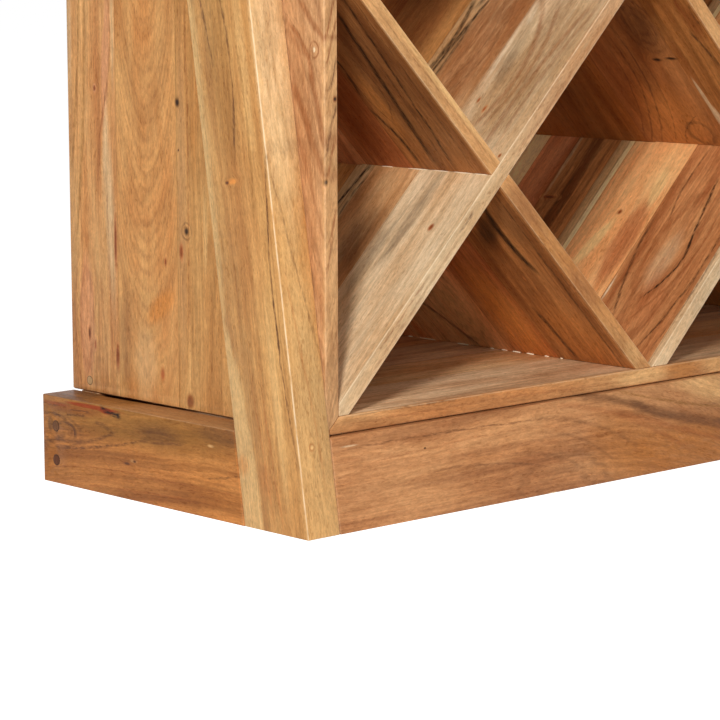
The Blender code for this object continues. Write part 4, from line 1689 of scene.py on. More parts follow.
    @staticmethod
    def rising_long() -> Look:
        """Staves and marks of the long rising board, pale at its front.

        Returns:
            The staves and the marks.
        """
        staves = (
            Stave(0.0000, Tone.SAPWOOD, Cut.RIFT, 0.06, 0.70, 1.9),
            Stave(0.1075, Tone.PEACH, Cut.FLAT, 0.10, 0.80, 2.8),
            Stave(0.1800, Tone.ASH, Cut.QUARTER, 0.60, 1.00, 3.3),
            Stave(0.2080, Tone.AMBER, Cut.CROWN, 0.20, 0.80, 4.1),
            Stave(0.3100, Tone.CHESTNUT, Cut.RIFT, 0.30, 0.80, 5.5),
        )
        marks = (
            Patch(250, 74, 80, 10, Ink.SMOKE, 0.46),
            Patch(190, 94, 60, 12, Ink.SMOKE, 0.42),
            # Dark oval: painted shadow of the side panel's front edge on this board.
            Patch(215, 126, 60, 30, Ink.BARK, 0.60),
            Patch(500, 40, 170, 60, Ink.OLIVE, 0.50),
            Patch(530, 145, 190, 60, Ink.UMBER, 0.75),
            # These two darken the board's upper back: painted shade in the top of the bin.
            Patch(550, 270, 190, 75, Ink.UMBER, 0.60),
            Patch(640, 300, 120, 110, Ink.BLACK, 0.50),
            Patch(515, 90, 50, 17, Ink.CREAM, 0.55, 0.12),
            Patch(550, 100, 22, 6, Ink.BONE, 0.80, 0.25),
            Patch(490, 103, 60, 4, Ink.BONE, 0.60, 0.04),
            Patch(470, 85, 40, 12, Ink.SMOKE, 0.26, 0.2),
            Patch(590, 30, 40, 20, Ink.CREAM, 0.45),
            Patch(500, 88, 60, 12, Ink.SMOKE, 0.22, 0.15),
            Patch(520, 0, 180, 3.4, Ink.SIENNA, 0.45),
            Line(380, 76, 470, 60, 565, 95, 6, Ink.UMBER, 0.55),
            Line(385, 62, 470, 48, 565, 70, 5, Ink.UMBER, 0.45),
            Line(350, 40, 450, 38, 565, 20, 6, Ink.UMBER, 0.50),
            Line(360, 22, 450, 24, 565, 8, 4, Ink.UMBER, 0.40),
            Line(180, 82, 250, 66, 315, 70, 3.6, Ink.SMOKE, 0.30),
            Line(200, 97, 260, 90, 315, 87, 3, Ink.SMOKE, 0.30),
            Line(250, 198, 285, 194, 318, 187, 4, Ink.BLACK, 0.95),
            Line(245, 183, 275, 185, 300, 181, 3, Ink.BLACK, 0.70),
            Line(440, 193, 510, 188, 570, 180, 4.4, Ink.BLACK, 0.90),
            Line(450, 203, 515, 195, 570, 204, 5, Ink.BLACK, 0.85),
            Line(440, 186, 480, 182, 530, 184, 3.6, Ink.BLACK, 0.70),
            Line(560, 192, 610, 186, 660, 192, 6, Ink.BLACK, 0.85),
            Line(440, 140, 500, 126, 565, 136, 2, Ink.BARK, 0.35),
            Line(450, 156, 505, 140, 565, 154, 2, Ink.BARK, 0.35),
            Line(90, -5, 135, -5, 180, -4.5, 1.8, Ink.UMBER, 0.60, Face.NARROW),
            Line(50, -13, 150, -12, 240, -10.5, 2.8, Ink.UMBER, 0.45, Face.NARROW),
            Line(245, -6.5, 258, -7, 272, -6.5, 2.4, Ink.BARK, 0.60, Face.NARROW),
            Line(360, -12, 440, -13, 560, -11, 3.2, Ink.UMBER, 0.45, Face.NARROW),
            Knot(242, 37, 5, 3.6, Ink.RUST, Ink.BRICK),
            Knot(408, 75, 6, 2.6, Ink.BRICK, Ink.SIENNA),
            Knot(420, 92, 5, 2.2, Ink.BRICK, Ink.SIENNA),
            Knot(345, 8, 3.6, 2.4, Ink.RUST, Ink.SIENNA),
        )
        return staves, marks

    @staticmethod
    def rising_lower_right() -> Look:
        """Staves and marks of the short rising board on the right, the most colourful one.

        Returns:
            The staves and the marks.
        """
        staves = (
            Stave(0.0000, Tone.SAPWOOD, Cut.QUARTER, 0.05, 0.6, 6.2),
            Stave(0.0080, Tone.RUSSET, Cut.CROWN, 0.12, 0.8, 7.1),
            Stave(0.1330, Tone.TANGERINE, Cut.FLAT, 0.00, 0.6, 8.4),
            Stave(0.2320, Tone.PEARL, Cut.RIFT, 0.00, 0.5, 0.8),
            Stave(0.2410, Tone.ASH, Cut.RIFT, 0.10, 0.8, 0.8),
            Stave(0.2540, Tone.WALNUT, Cut.QUARTER, 0.50, 1.2, 1.6),
            # The last two staves are brightened past their wood's own tone: painted light at the back of the
            # bin.
            Stave(0.3260, Tone.CORAL, Cut.RIFT, 0.10, 0.7, 2.2),
            Stave(0.3750, Tone.PEARL, Cut.RIFT, 0.00, 0.4, 3.7),
        )
        marks = (
            Patch(150, 78, 50, 17, Ink.CREAM, 0.40),
            Patch(100, 62, 60, 24, Ink.BRICK, 0.35, 0.3),
            Patch(170, 154, 75, 20, Ink.BRICK, 0.70, 0.04, soft=0.5),
            Patch(258, 153, 34, 10, Ink.BUTTER, 0.80, 0.15, soft=0.5),
            Patch(165, 198, 45, 10, Ink.BUTTER, 0.90, -0.25, soft=0.5),
            Patch(285, 160, 60, 28, Ink.BUTTER, 0.40),
            Patch(100, 131, 22, 2.2, Ink.BONE, 0.80),
            Swirl(170, 78, 160, 56, 2.5, Ink.RUST, 0.40),
            Patch(240, 127, 100, 6, Ink.RUST, 0.60),
            Patch(290, 322, 70, 3.4, Ink.CREAM, 0.60),
            Patch(250, 247.5, 150, 6.5, Ink.BUTTER, 0.50),
            Patch(240, 315, 150, 56, Ink.BARK, 0.28),
            Line(25, 38, 65, 27, 200, 19, 2.6, Ink.BARK, 0.85),
            Line(25, 18, 80, 10, 175, 9, 2.2, Ink.BARK, 0.60),
            Line(96, 74, 140, 53, 185, 56, 2.6, Ink.BLACK, 0.90),
            Line(165, 52, 215, 62, 275, 71, 2.6, Ink.BLACK, 0.90),
            Line(55, 78, 110, 49, 225, 42, 3, Ink.RUST, 0.55),
            Line(65, 100, 120, 117, 205, 129, 3.2, Ink.BARK, 0.80),
            Line(215, 107, 265, 115, 325, 110, 2.4, Ink.BARK, 0.75),
            Line(130, 100, 190, 108, 240, 100, 2, Ink.RUST, 0.50),
            Line(160, 268, 240, 266, 325, 267, 3.4, Ink.BARK, 0.60),
            Line(180, 282, 250, 283, 325, 281, 4, Ink.BARK, 0.70),
            Line(190, 298, 255, 296, 325, 298, 3.6, Ink.BARK, 0.60),
            Line(200, 312, 260, 310, 325, 312, 3.6, Ink.BARK, 0.60),
            Knot(215, 187, 4.2, 3.6, Ink.RUST, Ink.BRICK),
            Knot(228, 312, 3, 11, Ink.BARK, Ink.RUST),
        )
        return staves, marks

    @staticmethod
    def falling_lower_left() -> Look:
        """Staves and marks of the short falling board, with black streaks near its front.

        Returns:
            The staves and the marks.
        """
        staves = (
            Stave(0.0000, Tone.BISCUIT, Cut.QUARTER, 0.15, 0.8, 4.4),
            Stave(EDGE_BAND, Tone.CHESTNUT, Cut.QUARTER, 0.40, 1.0, 4.4),
            Stave(0.1170, Tone.MAHOGANY, Cut.RIFT, 0.20, 0.8, 5.9),
            Stave(0.1920, Tone.CORAL, Cut.CROWN, 0.15, 1.0, 6.6),
            Stave(0.3000, Tone.TANGERINE, Cut.RIFT, 0.10, 0.9, 7.3),
        )
        marks = (
            Patch(190, 150, 180, 50, Ink.RUST, 0.88),
            # Dark oval over the upper front of the underside: painted shade where it roofs the left bin.
            Patch(190, 50, 170, 65, Ink.BARK, 0.54),
            Patch(225, 95, 55, 14, Ink.ORANGE, 0.45),
            # These three brighten the board's lower end: painted light bounced up from the floor.
            Patch(600, 60, 70, 50, Ink.ORANGE, 0.45),
            Patch(590, 155, 120, 44, Ink.ORANGE, 0.85),
            Patch(600, 260, 130, 85, Ink.FLAME, 0.85),
            Patch(500, 0, 210, 3.4, Ink.GINGER, 0.50),
            Patch(200, -3, 130, 4.5, Ink.BUTTER, 0.55, face=Face.NARROW),
            Patch(385, -9, 45, 16, Ink.UMBER, 0.50, face=Face.NARROW),
            Patch(520, -9, 40, 16, Ink.UMBER, 0.45, face=Face.NARROW),
            Patch(635, -9, 20, 12, Ink.FLAME, 0.40, face=Face.NARROW),
            Patch(425, 76, 45, 17, Ink.BLACK, 0.75, 0.6),
            Patch(400, 30, 60, 20, Ink.SMOKE, 0.40),
            Swirl(570, 245, 85, 50, 4.0, Ink.BARK, 0.24),
            Line(50, 26, 180, 36, 312, 50, 2.8, Ink.BLACK, 0.85),
            Line(80, 52, 190, 64, 315, 78, 5, Ink.BLACK, 0.95),
            Line(60, 12, 180, 16, 310, 22, 1.8, Ink.BARK, 0.70),
            Line(120, 45, 210, 50, 310, 62, 2.4, Ink.BARK, 0.60),
            Line(140, 113, 175, 110, 210, 114, 3, Ink.BLACK, 0.90),
            Line(235, 115, 268, 105, 315, 102, 4, Ink.BLACK, 0.90),
            Line(150, 85, 215, 78, 250, 94, 2, Ink.BARK, 0.60),
            Line(160, 108, 215, 107, 250, 96, 2, Ink.BARK, 0.60),
            Line(360, 46, 425, 56, 490, 46, 7, Ink.BLACK, 0.95),
            Line(345, 18, 480, 19, 640, 18, 2.2, Ink.BLACK, 0.65),
            Line(345, 8, 480, 8, 640, 10, 1.4, Ink.BARK, 0.60),
            Line(560, 97, 600, 92, 645, 87, 4.6, Ink.BLACK, 0.75),
            Line(575, 292, 610, 268, 650, 248, 6, Ink.BARK, 0.70),
            Line(60, -11, 180, -9, 325, -6, 1.4, Ink.BARK, 0.35, Face.NARROW),
            Line(60, -4, 180, -4, 325, -12, 1.4, Ink.UMBER, 0.32, Face.NARROW),
            Line(345, -8, 480, -10, 640, -8, 1.8, Ink.UMBER, 0.40, Face.NARROW),
            Knot(505, 74, 8, 3.6, Ink.SIENNA, Ink.UMBER),
        )
        return staves, marks

    @staticmethod
    def falling_long() -> Look:
        """Staves and marks of the long falling board.

        Returns:
            The staves and the marks.
        """
        staves = (
            Stave(0.0000, Tone.BISCUIT, Cut.RIFT, 0.15, 0.8, 8.8),
            Stave(EDGE_BAND, Tone.COCOA, Cut.RIFT, 0.20, 0.9, 8.8),
            Stave(0.0750, Tone.SEPIA, Cut.FLAT, 0.06, 0.8, 0.4),
            Stave(0.2130, Tone.COCOA, Cut.RIFT, 0.06, 0.6, 1.2),
            Stave(0.3200, Tone.COCOA, Cut.FLAT, 0.10, 0.7, 2.5),
        )
        marks = (
            Patch(790, 16, 40, 14, Ink.RUST, 0.50),
            Patch(860, 68, 60, 8, Ink.RUST, 0.45),
            Patch(930, 72.5, 45, 3.4, Ink.CREAM, 0.90, soft=0.4),
            Patch(958, 71, 30, 6, Ink.CREAM, 0.90, soft=0.4),
            Patch(800, 105, 60, 34, Ink.BARK, 0.55),
            Patch(900, 190, 110, 22, Ink.RUST, 0.45),
            Patch(965, 145, 80, 60, Ink.ORANGE, 0.50),
            Patch(900, 300, 120, 80, Ink.BLACK, 0.32),
            Swirl(800, 100, 55, 34, 4.0, Ink.BARK, 0.50),
            Swirl(985, 115, 30, 30, 2.0, Ink.BARK, 0.55),
            Line(810, 28, 835, 22, 865, 18, 3.6, Ink.BARK, 0.90),
            Line(765, 4, 780, 8, 800, 6, 3, Ink.BARK, 0.80),
            Line(755, 20, 768, 22, 785, 18, 3, Ink.RUST, 0.80),
            Line(810, 145, 880, 145, 1000, 186, 2.2, Ink.BARK, 0.65),
            Line(830, 158, 900, 162, 1010, 208, 2.2, Ink.BARK, 0.60),
            Line(840, 172, 910, 180, 1000, 214, 2, Ink.BARK, 0.50),
            Line(850, 132, 910, 134, 1000, 164, 1.6, Ink.BARK, 0.45),
            Line(955, 106, 968, 123, 1010, 150, 1.8, Ink.BARK, 0.75),
            Knot(855, 84, 2.6, 10, Ink.BLACK, Ink.BARK),
            Knot(858, 108, 3, 8, Ink.BLACK, Ink.BARK),
        )
        return staves, marks

    @staticmethod
    def unseen(node: str, frame: GrainFrame) -> Look:
        """Staves and marks of a board in the upper half.

        Args:
            node: the board's name.
            frame: its axes and size.

        Returns:
            The staves and the marks.
        """
        seed = len(node)
        tones = (Tone.SAPWOOD, Tone.RUSSET, Tone.HONEY, Tone.CHESTNUT, Tone.TANGERINE, Tone.WALNUT)
        return wild_staves(seed, frame.size[1], tones, 0.075), wild_marks(seed, frame, 0.0, 5, 7)


@dataclass
class Posts:
    """Two front posts that lean back against the sides of the case."""

    at: Measures
    nodes: dict[str, Object]

    def build(self) -> None:
        """Dress both posts."""
        dress("post_left", self.left(), self.nodes["post_left"])
        dress("post_right", self.right(), self.nodes["post_right"])

    def post_frame(self, x: float) -> GrainFrame:
        """Axes of a post: up the lean, then from its front face backwards.

        Args:
            x: its face on the -X side.

        Returns:
            The grain frame.
        """
        low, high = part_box("post_left")
        up = Vector((0, math.sin(POST_LEAN), math.cos(POST_LEAN)))
        back = Vector((0, math.cos(POST_LEAN), -math.sin(POST_LEAN)))
        size = ((high.z - low.z) / math.cos(POST_LEAN), POST_WIDTH, high.x - low.x)
        return GrainFrame((x, self.at.foot_front, 0), up, back, size)

    def left(self) -> WoodFinish:
        """Left post: honey heartwood, a pale sapwood edge behind and two dark lines.

        Returns:
            Its finish.
        """
        frame = self.post_frame(-self.at.outer_x)
        staves = (Stave(0.0, Tone.WHEAT, Cut.QUARTER, 0.10, 0.78, 2.9),)
        marks = (
            Patch(470, -22, 180, 34, Ink.CREAM, 0.55, face=Face.NARROW),
            Patch(100, -22, 260, 34, Ink.BUTTER, 0.50, face=Face.NARROW),
            Patch(0, 115, 260, 50, Ink.BUTTER, 0.85, soft=0.14),
            Patch(420, 107, 340, 24, Ink.BUTTER, 0.85, soft=0.50),
            Patch(78, 89, 14, 11, Ink.ORANGE, 0.60),
            Patch(62, 55, 22, 12, Ink.SIENNA, 0.40),
            Patch(480, 55, 130, 22, Ink.OLIVE, 0.40),
            Patch(300, 45, 110, 30, Ink.SIENNA, 0.25),
            Patch(130, 25, 120, 8, Ink.BUTTER, 0.45),
            Patch(470, 20, 100, 9, Ink.BUTTER, 0.40),
            Line(80, 3, 220, 13.5, 385, 1, 2, Ink.BARK, 0.70),
            Line(190, 12, 215, 13, 245, 13, 2.2, Ink.BARK, 0.80),
            Line(300, 11, 325, 8.5, 345, 6, 2.4, Ink.BARK, 0.80),
            Line(390, 48, 470, 39.5, 560, 46, 1.9, Ink.BARK, 0.70),
            Line(400, 47, 425, 44, 450, 42, 2.2, Ink.BARK, 0.70),
            Line(485, 67, 515, 71, 555, 76, 2, Ink.BARK, 0.70),
            Line(10, 36, 60, 40, 140, 46, 2.2, Ink.SIENNA, 0.60),
            Line(10, 49, 60, 52, 150, 60, 2, Ink.SIENNA, 0.50),
            Line(320, 30, 400, 24, 500, 27, 2.4, Ink.OLIVE, 0.50),
            Line(185, -41, 285, -20, 380, -1, 2, Ink.BARK, 0.45, Face.NARROW),
            Line(330, -42, 430, -27, 560, -18, 3, Ink.OLIVE, 0.28, Face.NARROW),
            Line(300, -34, 400, -18, 520, -8, 2.4, Ink.OLIVE, 0.24, Face.NARROW),
            Line(60, -30, 150, -22, 260, -8, 2.4, Ink.SIENNA, 0.40, Face.NARROW),
            Knot(365, 56, 3.4, 7.5, Ink.ORANGE, Ink.ORANGE),
            Knot(364.5, 64.5, 2.2, 3, Ink.BARK, Ink.RUST),
            Knot(92, -18, 4.2, 3.6, Ink.BUTTER, Ink.SIENNA, face=Face.NARROW),
        )
        marks += wild_marks(41, frame, 0.58, 3, 4)
        return WoodFinish("post_left_wood", frame, staves, marks, arris_wear_and_highlight=0.75)

    def right(self) -> WoodFinish:
        """Right post, from the same log.

        Returns:
            Its finish.
        """
        frame = self.post_frame(self.at.case_x)
        staves = (Stave(0.0, Tone.WHEAT, Cut.RIFT, 0.15, 0.85, 6.4),)
        return WoodFinish("post_right_wood", frame, staves, wild_marks(42, frame, 0.0, 5, 6), arris_wear_and_highlight=0.7)


@dataclass
class Plinth:
    """Plinth boards, with the rail, cleats and bearer inside.

    Attributes:
        at: the cabinet's measures.
        nodes: all solids by name.
        gap: how far the left board stands off the case, from front to back.
        hollow: how far the cleat behind that gap is cut away.
        front_gap: height of the gap between the front board and the case.
    """

    at: Measures
    nodes: dict[str, Object]
    gap: tuple[Place, ...] = ((0.000, 0.0), (0.060, 0.0002), (0.135, 0.0010), (0.162, 0.0012), (0.174, 0.0))
    front_gap: float = 0.0009
    hollow: tuple[Place, ...] = ((0.000, 0.0), (0.080, 0.004), (0.135, 0.012), (0.174, 0.012), (0.175, 0.0))

    def build(self) -> None:
        """Dress the boards of the plinth."""
        finishes = {"plinth_front": self.front(), "plinth_left": self.left(), "plinth_right": self.right()}
        boards = {name: dress(name, wood, self.nodes[name]) for name, wood in finishes.items()}
        inside = ("plinth_rear_rail", "plinth_cleat_left", "plinth_cleat_right", "plinth_bearer")
        for seed, name in enumerate(inside):
            boards[name] = dress(name, self.hidden(name, seed), self.nodes[name])
        top = max(vertex.co.z for vertex in boards["plinth_front"].data.vertices)
        for vertex in boards["plinth_front"].data.vertices:
            if vertex.co.z > top - SAG_SKIN:
                vertex.co.z -= self.front_gap
        low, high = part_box("plinth_left")
        sag(boards["plinth_left"], self.gap, low.x, high.x)
        low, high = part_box("plinth_cleat_left")
        sag(boards["plinth_cleat_left"], self.hollow, high.x, low.x)

    def front(self) -> WoodFinish:
        """Front board: reddish brown with a dark band that sweeps down to the right.

        Returns:
            Its finish.
        """
        low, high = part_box("plinth_front")
        up = Vector((0, math.sin(POST_LEAN), math.cos(POST_LEAN)))
        thickness = (high.y - low.y - high.z * math.tan(POST_LEAN)) * math.cos(POST_LEAN)
        size = (high.x - low.x, high.z / math.cos(POST_LEAN), thickness)
        frame = GrainFrame((low.x, self.at.foot_front, 0), RIGHT, up, size)
        staves = (Stave(0.0, Tone.COPPER, Cut.RIFT, 0.10, 0.95, 3.1),)
        marks = (
            Patch(590, 87, 90, 24, Ink.FLAME, 0.60, -0.3),
            Patch(530, 18, 150, 44, Ink.GINGER, 0.75),
            Patch(430, 40, 70, 50, Ink.GINGER, 0.45),
            Swirl(330, 0, 95, 56, 3.0, Ink.BARK, 0.25),
            Line(365, 99, 430, 87, 482, 71, 7.5, Ink.BARK, 0.60),
            Line(450, 81, 530, 57, 615, 39, 9.5, Ink.BARK, 0.65),
            Line(420, 78, 500, 52, 600, 24, 6, Ink.RUST, 0.45),
            Line(330, 94, 430, 70, 540, 18, 5, Ink.RUST, 0.35),
            Line(290, 83, 365, 72, 450, 36, 4, Ink.BARK, 0.35),
            Line(300, 65, 355, 56, 410, 24, 3.4, Ink.BARK, 0.30),
            Line(250, 49, 310, 42, 370, 16, 3.4, Ink.BARK, 0.30),
            Line(430, 98, 510, 78, 610, 60, 2.4, Ink.OLIVE, 0.60),
            Line(20, 84, 150, 85, 300, 82, 1.6, Ink.BARK, 0.60),
            Line(130, 46, 225, 43, 300, 31, 2, Ink.BARK, 0.50),
            Line(50, 66, 140, 72, 280, 74, 1.6, Ink.UMBER, 0.45),
            Patch(24, 87.2, 14, 1.2, Ink.BONE, 0.40),
            Patch(310, 0.5, 8, 1, Ink.BONE, 0.80, soft=0.4),
            Knot(128, 72, 2, 1.2, Ink.BLACK, Ink.BARK),
        )
        marks += wild_marks(51, frame, 0.7, 3, 3)
        return WoodFinish("plinth_front_wood", frame, staves, marks, arris_wear_and_highlight=0.10, sweep=(0.30, 0.65))

    def side_frame(self, x: float) -> GrainFrame:
        """Axes of a side board: from front to back, then up.

        Args:
            x: its face on the +X side.

        Returns:
            The grain frame.
        """
        low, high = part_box("plinth_left")
        size = (high.y - PLINTH_GRAIN_START, high.z, high.x - low.x)
        return GrainFrame((x, PLINTH_GRAIN_START, 0), BACK, UP, size)

    def left(self) -> WoodFinish:
        """Left board: brown with a swirl, a crack and red knots at its back end.

        Returns:
            Its finish.
        """
        frame = self.side_frame(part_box("plinth_left")[1].x)
        staves = (Stave(0.0, Tone.COCOA, Cut.RIFT, 0.15, 0.9, 5.3),)
        marks = (
            Patch(160, 84, 240, 32, Ink.OLIVE, 0.80),
            Patch(135, 77, 50, 14, Ink.BARK, 0.50),
            Patch(30, 90, 50, 14, Ink.BARK, 0.45),
            Patch(49, 76.5, 6, 1.8, Ink.FLAME, 0.60),
            Patch(178, 43, 7, 2.2, Ink.FLAME, 0.45),
            Patch(285, 87, 65, 7, Ink.RUST, 0.55),
            Patch(250, 93, 55, 2.8, Ink.EMBER, 0.85, soft=0.5),
            Patch(224, 91.2, 14, 3.4, Ink.EMBER, 0.95, soft=0.5),
            Patch(315, 89, 30, 2.6, Ink.EMBER, 0.50),
            Patch(80, 97.6, 170, 1.5, Ink.MAUVE, 0.70, soft=0.3),
            Patch(300, 97.6, 60, 1.6, Ink.SMOKE, 0.70),
            Patch(325, 66, 6, 9, Ink.SMOKE, 0.60, soft=0.5),
            Swirl(297, 60, 21, 13, 1.5, Ink.BARK, 0.95),
            Swirl(306, 60, 48, 23, 3.0, Ink.BARK, 0.40),
            Line(160, 68, 225, 53, 345, 40, 2.2, Ink.BARK, 0.75),
            Line(0, 51, 25, 46, 55, 41, 1.6, Ink.BLACK, 0.55),
            Line(211, 70, 238, 59, 285, 50, 3.8, Ink.BARK, 0.60),
            Line(211, 68, 222, 73, 245, 76, 3.6, Ink.BARK, 0.55),
            Line(92, 72, 115, 70, 165, 66, 2.6, Ink.BARK, 0.60),
            Line(110, 77, 130, 80, 160, 77, 3.4, Ink.BARK, 0.50),
            Line(300, 54, 322, 47, 345, 42, 5, Ink.BARK, 0.70),
            Line(296, 73, 312, 77, 345, 75, 2.6, Ink.BARK, 0.90),
            Line(262, 81, 280, 80, 298, 78, 2, Ink.BARK, 0.85),
            Line(255, 86, 270, 87, 290, 85, 2, Ink.BARK, 0.75),
            Line(310, 88, 325, 87, 345, 89, 1.8, Ink.BARK, 0.75),
            Line(200, 89, 214, 90, 234, 94, 4.4, Ink.BLACK, 1.00),
            Line(150, 30, 250, 26, 345, 14, 1.6, Ink.RUST, 0.45),
            Line(80, 14, 200, 10, 345, -2, 1.6, Ink.RUST, 0.45),
            Line(0, 29, 80, 30, 180, 26, 1.6, Ink.RUST, 0.35),
            Knot(189, 39, 8, 2.2, Ink.BARK, Ink.UMBER),
            Knot(176, 43, 3, 1.8, Ink.BARK, Ink.UMBER),
        )
        return WoodFinish("plinth_left_wood", frame, staves, marks, arris_wear_and_highlight=0.05, sweep=(0.0, 0.2))

    def right(self) -> WoodFinish:
        """Right board, plainer than the left.

        Returns:
            Its finish.
        """
        frame = self.side_frame(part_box("plinth_right")[1].x)
        staves = (Stave(0.0, Tone.CHESTNUT, Cut.CROWN, 0.25, 0.9, 7.9),)
        return WoodFinish("plinth_right_wood", frame, staves, wild_marks(52, frame, 0.0, 4, 4))

    @staticmethod
    def hidden(node: str, seed: int) -> WoodFinish:
        """Sawn timber of the plinth's inside, with its grain along its longest side.

        Args:
            node: the piece's name.
            seed: seed of its marks.

        Returns:
            Its finish.
        """
        low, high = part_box(node)
        reach = high - low
        if reach.x > reach.y:
            frame = GrainFrame(low, RIGHT, UP, (reach.x, reach.z, reach.y))
        else:
            frame = GrainFrame((high.x, low.y, low.z), BACK, UP, (reach.y, reach.z, reach.x))
        staves = (Stave(0.0, Tone.UMBER, Cut.RIFT, 0.3, 0.9, seed + 0.5),)
        marks = wild_marks(60 + seed, frame, 0.0, 2, 2)
        return WoodFinish(node + "_wood", frame, staves, marks, roughness=0.66, relief=0.0007, arris_wear_and_highlight=0.2)


@dataclass
class Top:
    """Top board over the case and the heads of the posts."""

    nodes: dict[str, Object]

    def build(self) -> None:
        """Dress the top board."""
        low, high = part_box("top_board")
        size = (high.x - low.x, high.y - low.y, high.z - low.z)
        frame = GrainFrame((low.x, low.y, high.z), RIGHT, BACK, size)
        tones = (Tone.HONEY, Tone.BLUSH, Tone.AMBER, Tone.ROSE, Tone.STRAW)
        staves = wild_staves(71, size[1], tones, 0.090)
        finish = WoodFinish("top_board_wood", frame, staves, wild_marks(72, frame, 0.0, 11, 10), arris_wear_and_highlight=0.6)
        dress("top_board", finish, self.nodes["top_board"])


